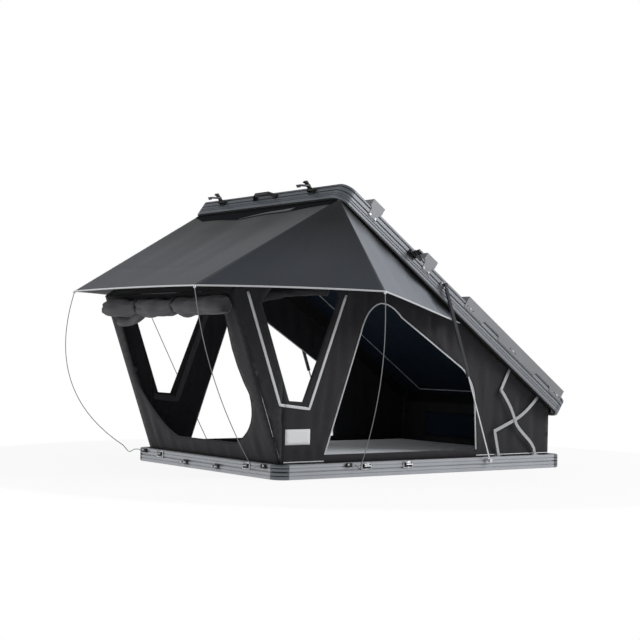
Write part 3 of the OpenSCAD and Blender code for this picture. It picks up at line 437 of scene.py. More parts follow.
@dataclass(frozen=True)
class ClothFinish:
    """Woven cloth that follows the flat coordinates of its sheet."""

    name: str
    dark: Colour
    light: Colour
    thread: float = 0.0016
    roughness: float = 0.85
    sheen: float = 0.2
    depth: float = 0.35
    # Reach down from the top edge of the painted shade under the lid, 0 for none
    lid_shade_reach: float = 0.0
    gloss: float = 0.5

    def make(self, effects: Effects) -> bpy.types.Material:
        """Build the material from the shared effects."""
        material, sketch, shader = blank_material(self.name)
        flat = sketch.add("ShaderNodeUVMap", {"uv_map": FLAT_MAP}).outputs[0]
        weave = sketch.group(effects.weave, Vector=flat, Thread=self.thread)
        colour = sketch.mix(weave.outputs["Tone"], self.dark, self.light)
        # Painted shade: the colour darkens towards the top edge, under the lid
        if self.lid_shade_reach:
            down = sketch.add("ShaderNodeSeparateXYZ", Vector=flat).outputs[1]
            smooth = {"interpolation_type": "SMOOTHSTEP"}
            ease = sketch.add("ShaderNodeMapRange", smooth, Value=down, From_Max=self.lid_shade_reach)
            colour = sketch.mix(ease.outputs[0], LID_SHADE, colour)
        rough = sketch.around(weave.outputs["Tone"], self.roughness, 0.2)
        sketch.cover(shader, colour, rough, weave.outputs["Height"], self.depth, CLOTH_BUMP)
        shader.inputs["Sheen Weight"].default_value = self.sheen
        shader.inputs["Specular IOR Level"].default_value = self.gloss
        shader.inputs["Sheen Roughness"].default_value = SHEEN_ROUGHNESS
        return material


# Colour of the painted shade under the lid
LID_SHADE = shade(12, 14, 18)


class Finish(Enum):
    """Every finish of the tent."""

    RAIL = MetalFinish("lid rail metal", shade(120, 123, 128), shade(146, 149, 154), metallic=0.5,
                       roughness=0.42, lines=0.03, wear=0.2, tilt=-PLAN.lid_angle)
    TRAY = MetalFinish("tray rail metal", shade(150, 153, 158), shade(186, 189, 194), metallic=0.5,
                       roughness=0.4, lines=0.06)
    # Darker copy of the tray metal for the curved tray corners, painted shade; the lid front dashes use it
    # too
    BASE_CORNER = MetalFinish("base corner casting, painted shade", shade(88, 92, 98), shade(118, 122, 128),
                              metallic=0.55, roughness=0.34, lines=0.03)
    # Darker copy of the lid rail metal for the lid front: painted shade
    SLATE = MetalFinish("lid end rail metal, painted shade", shade(74, 79, 85), shade(112, 117, 124), metallic=0.45,
                        roughness=0.34, lines=0.04)
    # Darker copy of the lid rail metal for the lid corners: painted shade
    LID_CORNER = MetalFinish("lid corner casting, painted shade", shade(92, 96, 102), shade(124, 129, 135), metallic=0.5,
                             roughness=0.32, lines=0.03)
    SHEET = MetalFinish("folded sheet metal", shade(116, 118, 121), shade(136, 138, 141), metallic=0.45,
                        roughness=0.45, lines=0.03, wear=0.12, tilt=-PLAN.lid_angle)
    SKIN = MetalFinish("lid skin", shade(62, 65, 70), shade(92, 95, 100), metallic=0.4, roughness=0.5,
                       lines=0.06)
    BRIGHT = MetalFinish("plated steel", shade(170, 172, 175), shade(224, 225, 228), metallic=0.8,
                         roughness=0.28, lines=0.1, wear=0.2)
    BAR = MetalFinish("hinge bar steel", shade(150, 152, 155), shade(192, 194, 197), metallic=0.5,
                      roughness=0.36, lines=0.08)
    STRUT = MetalFinish("strut tube", shade(40, 42, 45), shade(84, 86, 90), metallic=0.6, roughness=0.3,
                        lines=0.05)
    WIRE = MetalFinish("spring wire", shade(88, 90, 94), shade(150, 152, 156), metallic=0.75,
                       roughness=0.32, lines=0.1)
    TUBE = MetalFinish("dark tube", shade(40, 42, 46), shade(78, 81, 86), metallic=0.6, roughness=0.35,
                       lines=0.1)
    SHAFT = MetalFinish("polished shaft", shade(180, 182, 185), shade(232, 233, 235), metallic=0.9,
                        roughness=0.18, lines=0.05, wear=0.1)
    BLACK = CoatFinish("black coat", shade(16, 16, 18), shade(58, 58, 62), roughness=0.42)
    MOULDED = CoatFinish("moulded black", shade(20, 20, 22), shade(50, 50, 54), roughness=0.6, grain=0.4,
                         grain_scale=1400.0)
    SEAL = CoatFinish("rubber seal", shade(12, 12, 13), shade(34, 34, 36), roughness=0.75, grain=0.3,
                      grain_scale=600.0)
    BOARD = CoatFinish("floor film", shade(24, 25, 28), shade(52, 54, 58), roughness=0.6, grain=0.5,
                       grain_scale=300.0)
    PATCH = CoatFinish("blank patch", shade(226, 227, 228), shade(240, 240, 240), roughness=0.6, grain=0.2,
                       grain_scale=500.0)
    CANVAS = ClothFinish("wall canvas", shade(21, 20, 25), shade(38, 37, 42), thread=0.0022,
                         roughness=0.88, sheen=0.12, depth=0.4)
    # Lighter canvas: the pale window bands and the awning flap, and painted light on the rolled door
    DOOR_BACK = ClothFinish("lighter canvas", shade(56, 54, 58), shade(82, 80, 85), thread=0.0022,
                            roughness=0.88, sheen=0.2, depth=0.4)
    # Darker towards the top edge: painted shade under the lid
    AWNING = ClothFinish("awning cloth", shade(39, 43, 50), shade(59, 64, 72), thread=0.0011,
                         roughness=0.55, sheen=0.17, depth=0.18, lid_shade_reach=0.6, gloss=0.32)
    # Lighter copy of the awning cloth for the side panels: painted sheen, with painted shade along the lid
    # edge
    AWNING_SIDE = ClothFinish("awning side cloth, painted sheen", shade(110, 115, 123), shade(134, 139, 147),
                              thread=0.0011, roughness=0.55, sheen=0.17, depth=0.18, lid_shade_reach=0.1, gloss=0.32)
    # Black cloth for a band that stands in for the shaded gap under the lid: painted shade
    FACING = ClothFinish("painted shade band", shade(9, 11, 15), shade(18, 21, 26), thread=0.0011,
                         roughness=0.9, sheen=0.0, depth=0.18, gloss=0.08)
    LINING = ClothFinish("padded lining", shade(14, 24, 36), shade(29, 45, 63), thread=0.003,
                         roughness=0.8, sheen=0.02, depth=0.3, gloss=0.15)
    PAD = ClothFinish("mattress cover", shade(206, 213, 221), shade(238, 243, 248), thread=0.004,
                      roughness=0.9, sheen=0.3, depth=0.6)
    TAPE = ClothFinish("grey tape", shade(190, 192, 196), shade(224, 226, 229), thread=0.002,
                       roughness=0.6, sheen=0.1, depth=0.3)
    WEBBING = ClothFinish("strap webbing", shade(20, 20, 22), shade(44, 44, 47), thread=0.003,
                          roughness=0.8, sheen=0.1, depth=0.8)
    THREAD = ClothFinish("sewing thread", shade(34, 33, 35), shade(48, 46, 49), thread=0.001,
                         roughness=0.7, sheen=0.1, depth=0.2)


class Palette:
    """The materials, built once."""

    def __init__(self) -> None:
        """Build every finish."""
        effects = Effects()
        self._made = {finish: finish.value.make(effects) for finish in Finish}

    def __getitem__(self, finish: Finish) -> bpy.types.Material:
        """The material of a finish."""
        return self._made[finish]


# Shapes


def bowed(start: np.ndarray, control: np.ndarray, end: np.ndarray,
          shares: Sequence[float]) -> list[np.ndarray]:
    """Points of a smooth bend at shares of its run.

    Args:
        start: first point.
        control: the point that pulls the bend.
        end: last point.
        shares: places along the bend, from 0 to 1.

    Returns:
        The points.
    """
    return [start * (1 - t) ** 2 + control * 2 * t * (1 - t) + end * t * t for t in shares]


def bend(start: Pair, control: Pair, end: Pair, count: int) -> list[Pair]:
    """A number of points of a flat bend, without its start."""
    corners = (np.array(v, float) for v in (start, control, end))
    return [tuple(p) for p in bowed(*corners, np.arange(1, count + 1) / count)]


def rectangle(low: Pair, high: Pair) -> list[Pair]:
    """Corners of a rectangle, in order from its lowest."""
    return [low, (high[0], low[1]), high, (low[0], high[1])]


def grid_faces(rows: int, cols: int, first: int = 0, ring: bool = False, loop: bool = False) -> list[tuple]:
    """Faces between neighbouring rows of points.

    Args:
        rows: number of rows.
        cols: points in a row.
        first: number of the first point.
        ring: whether each row closes on itself.
        loop: whether the last row joins the first.

    Returns:
        Corner numbers of each face.
    """
    faces = []
    for r in range(rows if loop else rows - 1):
        near, far = first + r * cols, first + (r + 1) % rows * cols
        for k in range(cols if ring else cols - 1):
            beside = (k + 1) % cols
            faces.append((near + k, near + beside, far + beside, far + k))
    return faces


def end_caps(rows: int, cols: int) -> list[tuple]:
    """Faces that close the first and the last ring of a grid."""
    return [tuple(range(cols))[::-1], tuple((rows - 1) * cols + k for k in range(cols))]


def spaced(points: Sequence[Sequence[float]], step: float, closed: bool = False) -> np.ndarray:
    """A line with extra points, no further apart than a step.

    Args:
        points: corners of the line.
        step: largest distance between neighbours.
        closed: whether the line returns to its start.

    Returns:
        The points, one row each.
    """
    corners = np.array(points, float)
    ends = np.roll(corners, -1, axis=0) if closed else corners[1:]
    rows = []
    for a, b in zip(corners, ends):
        count = max(1, math.ceil(np.linalg.norm(b - a) / step))
        rows.extend(a + (b - a) * k / count for k in range(count))
    if not closed:
        rows.append(corners[-1])
    return np.array(rows)


def inside(points: np.ndarray, loop: np.ndarray) -> np.ndarray:
    """Which points lie inside a closed loop."""
    x, y = points[:, 0], points[:, 1]
    hit = np.zeros(len(points), bool)
    for a, b in zip(loop, np.roll(loop, -1, axis=0)):
        if a[1] == b[1]:
            continue
        crosses = (a[1] > y) != (b[1] > y)
        hit ^= crosses & (x < (b[0] - a[0]) * (y - a[1]) / (b[1] - a[1]) + a[0])
    return hit


def edge_distance(points: np.ndarray, loops: Sequence[np.ndarray]) -> np.ndarray:
    """Distance of each point from the nearest edge of closed loops."""
    best = np.full(len(points), 1e9)
    for loop in loops:
        for a, b in zip(loop, np.roll(loop, -1, axis=0)):
            run = b - a
            share = np.clip(((points - a) @ run) / max(run @ run, 1e-12), 0, 1)
            best = np.minimum(best, np.linalg.norm(points - a - share[:, None] * run, axis=1))
    return best


def calm_near(points: np.ndarray, loops: Sequence[np.ndarray], reach: float) -> np.ndarray:
    """How freely each point may move: 0 at the edges of loops, 1 from a distance on."""
    return np.clip(edge_distance(points, loops) / reach, 0, 1)


def filled(outline: Loop, holes: Sequence[Loop], step: float) -> tuple[np.ndarray, list[Triangle]]:
    """Fill a flat outline with even triangles.

    Args:
        outline: the outer edge.
        holes: edges of the openings, which may cross the outline.
        step: size of the triangles.

    Returns:
        The flat points and the triangles.
    """
    loops = [spaced(loop, step, True) for loop in (outline, *holes)]
    low, high = loops[0].min(axis=0), loops[0].max(axis=0)
    rise = step * math.sqrt(0.75)
    grid = np.array([(low[0] + (i + 0.5 * (j % 2)) * step, low[1] + j * rise)
                     for j in range(int((high[1] - low[1]) / rise) + 2)
                     for i in range(int((high[0] - low[0]) / step) + 2)])
    grid = grid[inside(grid, loops[0])]
    grid = grid[edge_distance(grid, loops) > step * 0.55]
    points, edges = [], []
    for loop in loops:
        first = len(points)
        points.extend(Vector(p) for p in loop)
        edges.extend((first + k, first + (k + 1) % len(loop)) for k in range(len(loop)))
    points.extend(Vector(p) for p in grid)
    verts, _, faces, *_ = delaunay_2d_cdt(points, edges, [], 0, 1e-6)
    flat = np.array([tuple(v) for v in verts])
    middles = np.array([flat[list(f)].mean(axis=0) for f in faces])
    keep = inside(middles, loops[0])
    for hole in loops[1:]:
        keep &= ~inside(middles, hole)
    chosen = [tuple(f) for f, good in zip(faces, keep) if good]
    used = sorted({k for f in chosen for k in f})
    number = {k: n for n, k in enumerate(used)}
    return flat[used], [tuple(number[k] for k in f) for f in chosen]


def new_piece(name: str, points: Sequence, faces: Sequence, material: bpy.types.Material,
              flat: np.ndarray | None = None) -> bpy.types.Object:
    """Make a smooth mesh object at the origin.

    Args:
        name: name of the piece.
        points: corner points in metres.
        faces: corner numbers of each face.
        material: the finish.
        flat: cloth coordinates of the points, in metres.

    Returns:
        The object.
    """
    mesh = bpy.data.meshes.new(name)
    mesh.from_pydata([tuple(map(float, p)) for p in points], [], [tuple(map(int, f)) for f in faces])
    mesh.update()
    if flat is not None:
        layer = mesh.uv_layers.new(name=FLAT_MAP)
        corners = np.zeros(len(mesh.loops), np.int32)
        mesh.loops.foreach_get("vertex_index", corners)
        layer.data.foreach_set("uv", np.asarray(flat, np.float32)[corners].ravel())
    mesh.polygons.foreach_set("use_smooth", np.ones(len(mesh.polygons), bool))
    mesh.materials.append(material)
    piece = bpy.data.objects.new(name, mesh)
    bpy.context.scene.collection.objects.link(piece)
    return piece


def settle(piece: bpy.types.Object) -> bpy.types.Object:
    """Turn a piece and its modifiers into a plain mesh."""
    graph = bpy.context.evaluated_depsgraph_get()
    mesh = bpy.data.meshes.new_from_object(piece.evaluated_get(graph))
    piece.modifiers.clear()
    mesh.name = piece.name
    piece.data = mesh
    return piece


def thicken(piece: bpy.types.Object, thickness: float) -> bpy.types.Object:
    """Give a surface a wall that is centred on it."""
    wall = piece.modifiers.new("wall", "SOLIDIFY")
    wall.thickness = thickness
    wall.offset = 0.0
    return settle(piece)


def cloth_piece(name: str, flat: np.ndarray, faces: Sequence[Triangle], points: np.ndarray,
                material: bpy.types.Material, thickness: float = 0.0016) -> bpy.types.Object:
    """A thin sheet from its flat pattern and its points in space."""
    return thicken(new_piece(name, points, faces, material, flat), thickness)


def ribbon(name: str, path: np.ndarray, out: np.ndarray, width: float, thickness: float,
           material: bpy.types.Material, closed: bool = False) -> bpy.types.Object:
    """A flat tape that follows a path.

    Args:
        name: name of the piece.
        path: points of the tape's middle line.
        out: the way its face looks, one row for each point or one for all.
        width: width of the tape.
        thickness: thickness of the tape.
        material: the finish.
        closed: whether the tape is a loop.

    Returns:
        The object.
    """
    path = np.asarray(path, float)
    out = np.broadcast_to(np.asarray(out, float), path.shape)
    run = np.roll(path, -1, axis=0) - np.roll(path, 1, axis=0)
    if not closed:
        run[0], run[-1] = path[1] - path[0], path[-1] - path[-2]
    across = np.cross(out, run)
    across /= np.linalg.norm(across, axis=1)[:, None]
    half, lift = width / 2, thickness / 2
    crown, shoulder = half * 0.8, lift * 0.4
    section = [(-half, -lift), (half, -lift), (half, shoulder),
               (crown, lift), (-crown, lift), (-half, shoulder)]
    points, flat = [], []
    length = np.concatenate([[0], np.cumsum(np.linalg.norm(np.diff(path, axis=0), axis=1))])
    for p, n, s, u in zip(path, out, across, length):
        points.extend(p + s * x + n * y for x, y in section)
        flat.extend((u, x) for x, _ in section)
    count, rows = len(section), len(path)
    faces = grid_faces(rows, count, ring=True, loop=closed)
    if not closed:
        faces += end_caps(rows, count)
    return outward(new_piece(name, points, faces, material, np.array(flat)))


def outward(piece: bpy.types.Object) -> bpy.types.Object:
    """Point the faces of a closed mesh outwards."""
    form = bmesh.new()
    form.from_mesh(piece.data)
    bmesh.ops.recalc_face_normals(form, faces=form.faces)
    form.to_mesh(piece.data)
    form.free()
    return piece


def joined(name: str, parts: Sequence[bpy.types.Object]) -> bpy.types.Object:
    """Join pieces of one finish into one object.

    Args:
        name: name of the new piece.
        parts: the pieces, which are used up.

    Returns:
        The object.
    """
    points, faces, flat = [], [], []
    for part in parts:
        first = len(points)
        points.extend(tuple(v.co) for v in part.data.vertices)
        layer = part.data.uv_layers[FLAT_MAP].data
        own = np.zeros((len(part.data.vertices), 2))
        for loop in part.data.loops:
            own[loop.vertex_index] = layer[loop.index].uv
        flat.extend(own)
        faces.extend(tuple(first + k for k in p.vertices) for p in part.data.polygons)
    whole = new_piece(name, points, faces, parts[0].data.materials[0], np.array(flat))
    for part in parts:
        bpy.data.objects.remove(part)
    return whole


def welded(points: list, flat: list, faces: list) -> tuple[np.ndarray, np.ndarray, list]:
    """Merge points that lie together, and drop faces that vanish.

    Args:
        points: rows of X, Y and Z.
        flat: cloth coordinates.
        faces: corner numbers.

    Returns:
        The points, the cloth coordinates and the faces that remain.
    """
    seen: dict[tuple, int] = {}
    number, kept = [], []
    for k, p in enumerate(points):
        key = tuple(np.round(p, 6))
        if key not in seen:
            seen[key] = len(kept)
            kept.append(k)
        number.append(seen[key])
    clean = []
    for f in faces:
        corners = list(dict.fromkeys(number[k] for k in f))
        if len(corners) > 2:
            clean.append(tuple(corners))
    return np.array(points)[kept], np.array(flat)[kept], clean


class PathTools:
    """Geometry node trees for what follows a path or repeats."""

    def __init__(self) -> None:
        """Build each tree once."""
        self._tube = self._tube_tree()
        self._row = self._row_tree()
        self._studs = self._stud_tree()

    @staticmethod
    def _start(name: str, inputs: dict[str, str]) -> tuple[Sketch, bpy.types.Node, bpy.types.Node]:
        """Start a tree with named inputs; returns its sketch, input node and output node."""
        tree = bpy.data.node_groups.new(name, "GeometryNodeTree")
        tree.interface.new_socket("Geometry", in_out="INPUT", socket_type="NodeSocketGeometry")
        for label, kind in inputs.items():
            tree.interface.new_socket(label, in_out="INPUT", socket_type=kind)
        tree.interface.new_socket("Geometry", in_out="OUTPUT", socket_type="NodeSocketGeometry")
        sketch = Sketch(tree)
        return sketch, sketch.add("NodeGroupInput"), sketch.add("NodeGroupOutput")

    @staticmethod
    def _close(sketch: Sketch, shape: bpy.types.NodeSocket, given: bpy.types.Node,
               result: bpy.types.Node) -> bpy.types.NodeTree:
        """End a tree in smooth, real and painted geometry."""
        real = sketch.add("GeometryNodeRealizeInstances", Geometry=shape)
        smooth = sketch.add("GeometryNodeSetShadeSmooth", Geometry=real.outputs[0])
        paint = sketch.add("GeometryNodeSetMaterial", Geometry=smooth.outputs[0],
                           Material=given.outputs["Material"])
        sketch.feed(result.inputs[0], paint.outputs[0])
        return sketch.tree

    def _tube_tree(self) -> bpy.types.NodeTree:
        """Round tube along a line of edges."""
        sketch, given, result = self._start("tube along path", {
            "Radius": "NodeSocketFloat", "Sides": "NodeSocketInt", "Material": "NodeSocketMaterial"})
        curve = sketch.add("GeometryNodeMeshToCurve", Mesh=given.outputs["Geometry"])
        ring = sketch.add("GeometryNodeCurvePrimitiveCircle", Resolution=given.outputs["Sides"],
                          Radius=given.outputs["Radius"])
        tube = sketch.add("GeometryNodeCurveToMesh", Curve=curve.outputs[0], Profile_Curve=ring.outputs[0],
                          Fill_Caps=True)
        return self._close(sketch, tube.outputs[0], given, result)

    def _row_tree(self) -> bpy.types.NodeTree:
        """Short rods set along a line of edges, such as stitches."""
        sketch, given, result = self._start("row along path", {
            "Spacing": "NodeSocketFloat", "Length": "NodeSocketFloat", "Radius": "NodeSocketFloat",
            "Material": "NodeSocketMaterial"})
        curve = sketch.add("GeometryNodeMeshToCurve", Mesh=given.outputs["Geometry"])
        even = sketch.add("GeometryNodeResampleCurve", {"mode": "LENGTH"}, Curve=curve.outputs[0],
                          Length=given.outputs["Spacing"])
        rod = sketch.add("GeometryNodeMeshCylinder", Vertices=6, Radius=given.outputs["Radius"],
                         Depth=given.outputs["Length"])
        tangent = sketch.add("GeometryNodeInputTangent")
        turn = sketch.add("FunctionNodeAlignRotationToVector", {"axis": "Z"}, Vector=tangent.outputs[0])
        row = sketch.add("GeometryNodeInstanceOnPoints", Points=even.outputs[0], Instance=rod.outputs[0],
                         Rotation=turn.outputs[0])
        return self._close(sketch, row.outputs[0], given, result)

    def _stud_tree(self) -> bpy.types.NodeTree:
        """Domed heads on points, each turned its own way."""
        sketch, given, result = self._start("studs on points", {
            "Radius": "NodeSocketFloat", "Height": "NodeSocketFloat", "Material": "NodeSocketMaterial"})
        dome = sketch.add("GeometryNodeMeshUVSphere", Segments=14, Rings=8, Radius=1.0)
        radius = given.outputs["Radius"]
        size = sketch.add("ShaderNodeCombineXYZ", X=radius, Y=radius, Z=given.outputs["Height"])
        head = sketch.add("GeometryNodeTransform", Geometry=dome.outputs[0], Scale=size.outputs[0])
        way = sketch.add("GeometryNodeInputNamedAttribute", {"data_type": "FLOAT_VECTOR"}, Name="out")
        turn = sketch.add("FunctionNodeAlignRotationToVector", {"axis": "Z"}, Vector=way.outputs[0])
        studs = sketch.add("GeometryNodeInstanceOnPoints", Points=given.outputs["Geometry"],
                           Instance=head.outputs[0], Rotation=turn.outputs[0])
        return self._close(sketch, studs.outputs[0], given, result)

    @staticmethod
    def _run(name: str, mesh: bpy.types.Mesh, tree: bpy.types.NodeTree,
             values: dict[str, object]) -> bpy.types.Object:
        """Run a tree on a mesh and keep the result as a plain mesh."""
        piece = bpy.data.objects.new(name, mesh)
        bpy.context.scene.collection.objects.link(piece)
        modifier = piece.modifiers.new("make", "NODES")
        modifier.node_group = tree
        for socket in tree.interface.items_tree:
            if socket.in_out == "INPUT" and socket.name in values:
                modifier[socket.identifier] = values[socket.name]
        return settle(piece)

    @staticmethod
    def _lines(name: str, paths: Sequence[np.ndarray], closed: bool = False) -> bpy.types.Mesh:
        """A mesh of edges along paths."""
        points, edges = [], []
        for path in paths:
            first = len(points)
            points.extend(tuple(map(float, p)) for p in path)
            edges.extend((first + k, first + k + 1) for k in range(len(path) - 1))
            if closed:
                edges.append((first + len(path) - 1, first))
        mesh = bpy.data.meshes.new(name)
        mesh.from_pydata(points, edges, [])
        return mesh

    def tube(self, name: str, paths: Sequence[np.ndarray], radius: float, material: bpy.types.Material,
             sides: int = 10, closed: bool = False) -> bpy.types.Object:
        """Round tubes along paths.

        Args:
            name: name of the piece.
            paths: lines of points.
            radius: radius of the tube.
            material: the finish.
            sides: faces around the tube.
            closed: whether each path is a loop.

        Returns:
            The object.
        """
        return self._run(name, self._lines(name, paths, closed), self._tube,
                         {"Radius": radius, "Sides": sides, "Material": material})

    def row(self, name: str, paths: Sequence[np.ndarray], spacing: float, length: float, radius: float,
            material: bpy.types.Material) -> bpy.types.Object:
        """Short rods in rows along paths.

        Args:
            name: name of the piece.
            paths: lines of points.
            spacing: distance from rod to rod.
            length: length of a rod.
            radius: radius of a rod.
            material: the finish.

        Returns:
            The object.
        """
        return self._run(name, self._lines(name, paths), self._row,
                         {"Spacing": spacing, "Length": length, "Radius": radius, "Material": material})

    def studs(self, name: str, places: Sequence[tuple[Sequence[float], Sequence[float]]], radius: float,
              height: float, material: bpy.types.Material) -> bpy.types.Object:
        """Domed heads at places.

        Args:
            name: name of the piece.
            places: pairs of a point and the way its head faces.
            radius: radius of a head.
            height: height of a head.
            material: the finish.

        Returns:
            The object.
        """
        mesh = bpy.data.meshes.new(name)
        mesh.from_pydata([tuple(p) for p, _ in places], [], [])
        layer = mesh.attributes.new("out", "FLOAT_VECTOR", "POINT")
        layer.data.foreach_set("vector", np.array([tuple(n) for _, n in places], np.float32).ravel())
        return self._run(name, mesh, self._studs, {"Radius": radius, "Height": height, "Material": material})


@dataclass
class Workshop:
    """What every sub-assembly needs to make its pieces."""

    palette: Palette
    tools: PathTools


# Metal parts


@dataclass
class MetalParts:
    """Finishes of the CAD nodes, and the bolt heads, wires and painted shade lines on them.

    The triples are spacing, length and radius of a dash; half length, distance out and height of a wire; half
    width, lowest and highest edge of a frame.
    """

    shop: Workshop
    head_radius: float = 0.0065
    head_height: float = 0.004
    plate_bolt_x: tuple[float, ...] = (0.424, 0.444)
    plate_bolt_z: float = 0.056
    plate_out: float = 0.014
    socket_x: float = -0.612
    socket_y: float = 0.648
    socket_z: float = 0.072
    socket_out: float = 0.016
    dash: Point = (0.017, 0.010, 0.0011)
    dash_heights: tuple[float, ...] = (0.0265, 0.043, 0.0665)
    dash_half: float = 0.67
    keeper_y: float = 0.465
    keeper_x: tuple[float, ...] = (-0.477, -0.177)
    keeper_wires: tuple[Point, ...] = ((0.022, 0.0155, 0.060), (0.015, 0.0055, 0.0665))
    keeper_frame: Point = (0.032, 0.0420, 0.0735)
    frame_out: float = 0.0030
    ladder_y: float = 0.168
    ladder_z: float = 0.033
    ladder_out: float = 0.022
    sleeve_half: float = 0.0262
    corner_radius: float = 0.075
    groove_depth: float = 0.002
    groove_heights: tuple[float, ...] = (0.0208, 0.0416, 0.0616)
    finishes: dict[Finish, tuple[str, ...]] = field(default_factory=lambda: {
        Finish.RAIL: ("lid_side_rails",),
        Finish.TRAY: ("base_end_rails", "base_side_rails", "mount_rails"),
        Finish.BASE_CORNER: ("base_corners",),
        Finish.SLATE: ("lid_end_rails",),
        Finish.LID_CORNER: ("lid_corners",),
        Finish.SHEET: ("crossbar_front", "crossbar_middle", "rack_sides", "rack_slats"),
        Finish.SKIN: ("lid_skin",),
        Finish.BRIGHT: ("strut_feet", "strut_heads", "hoop_brackets", "lid_bolts"),
        Finish.BAR: ("hinge_arms_base", "hinge_arms_lid", "hinge_links_base", "hinge_links_lid",
                     "hinge_base_plates", "hinge_lid_plates"),
        Finish.STRUT: ("strut_cylinders",),
        Finish.TUBE: ("hoop_lower", "hoop_upper", "latch_bail_front_right", "latch_bail_front_left",
                      "latch_bail_side_right", "latch_bail_side_left"),
        Finish.SHAFT: ("strut_rods",),
        Finish.BLACK: ("lid_handle", "latch_keepers", "ladder_hooks", "latch_plates",
                       "latch_lever_front_right", "latch_lever_front_left",
                       "latch_lever_side_right", "latch_lever_side_left"),
        Finish.MOULDED: ("rod_sockets", "base_strips", "lid_strips"),
        Finish.SEAL: ("lid_seal",),
        Finish.BOARD: ("floor_panel",),
    })

    def dress(self, nodes: dict[str, bpy.types.Object]) -> None:
        """Give each CAD node its finish.

        Args:
            nodes: the frame's nodes by name.
        """
        for finish, names in self.finishes.items():
            for name in names:
                slots = nodes[name].data.materials
                slots.clear()
                slots.append(self.shop.palette[finish])
                LOG.info("%s gets %s", name, finish.name)

    def build(self) -> None:
        """Make the bolt heads, the dashes on the lid, the wires on the tray, and the black lines of painted
        groove shade on its corners.
        """
        tools, palette = self.shop.tools, self.shop.palette
        bright = palette[Finish.BRIGHT]
        tray = Carrier("base", slot="bright_steel")
        places = self._bolt_places()
        tray.take(tools.studs("base_bolt_heads", places, self.head_radius, self.head_height, bright))
        fronts = [self._front_line(up) for up in self.dash_heights]
        dashes = tools.row("lid_front_dashes", fronts, *self.dash, palette[Finish.BASE_CORNER])
        Carrier("lid", slot="rail_metal").take(dashes)
        tray.take(tools.tube("keeper_bars", self._keeper_bars(), 0.0032, bright))
        tray.take(tools.tube("ladder_pins", self._ladder_pins(), 0.0056, bright, 16))
        tray.take(tools.tube("keeper_frames", self._keeper_frames(), 0.004, bright, closed=True))
        # Black tubes in the corner grooves: painted groove shade
        lines = tools.tube("corner_groove_shade", self._corner_groove_shade(), 0.0021, palette[Finish.SEAL], 8)
        Carrier("base", slot="seal_rubber").take(lines)

    def _bolt_places(self) -> list[tuple[Point, Point]]:
        """The place of each bolt head on the tray, and the way that it faces."""
        places = []
        for side in Side:
            way, y = (0, side.value, 0), side.value * (PLAN.half_width + self.plate_out)
            places.extend(((x, y, self.plate_bolt_z), way) for x in self.plate_bolt_x)
            y = side.value * (PLAN.half_width + self.socket_out)
            places.append(((self.socket_x, y, self.socket_z), way))
            x = -PLAN.half_length - self.socket_out
            places.append(((x, side.value * self.socket_y, self.socket_z), (-1, 0, 0)))
        return places

    def _keeper_bars(self) -> list[np.ndarray]:
        """Two wires across each keeper."""
        bars = []
        for half, out, z in self.keeper_wires:
            for side in Side:
                x, y = -PLAN.half_length - out, side.value * self.keeper_y
                bars.append(np.array([(x, y - half, z), (x, y + half, z)]))
                y = side.value * (PLAN.half_width + out)
                bars.extend(np.array([(x - half, y, z), (x + half, y, z)]) for x in self.keeper_x)
        return bars

    def _keeper_frames(self) -> list[np.ndarray]:
        """A bright frame on the rail round each keeper."""
        half, low, high = self.keeper_frame
        ring = rectangle((-half, low), (half, high))
        frames = []
        for side in Side:
            x, y = -PLAN.half_length - self.frame_out, side.value * self.keeper_y
            frames.append(np.array([(x, y + a, z) for a, z in ring]))
            y = side.value * (PLAN.half_width + self.frame_out)
            frames.extend(np.array([(x + a, y, z) for a, z in ring]) for x in self.keeper_x)
        return frames

    def _ladder_pins(self) -> list[np.ndarray]:
        """Bright sleeves on the ladder hooks' pins."""
        x, z, half = -PLAN.half_length - self.ladder_out, self.ladder_z, self.sleeve_half
        middles = [side.value * self.ladder_y for side in Side]
        return [np.array([(x, y - half, z), (x, y + half, z)]) for y in middles]

    def _corner_groove_shade(self) -> list[np.ndarray]:
        """Black lines in the grooves of the tray corners: painted groove shade."""
        lines = []
        reach, radius = self.corner_radius, self.corner_radius - self.groove_depth
        for z in self.groove_heights:
            for k, (sx, sy) in enumerate(CORNER_SIGNS):
                turn = np.linspace(0.06, math.pi / 2 - 0.06, 14) + k * math.pi / 2
                x = sx * (PLAN.half_length - reach) + radius * np.cos(turn)
                y = sy * (PLAN.half_width - reach) + radius * np.sin(turn)
                lines.append(np.column_stack([x, y, np.full(len(turn), z)]))
        return lines

    def _front_line(self, up: float) -> np.ndarray:
        """A level line along the front of the lid."""
        x, z = PLAN.on_lid(PLAN.lid_length, up)
        return np.array([(x, -self.dash_half, z), (x, self.dash_half, z)])


# Walls


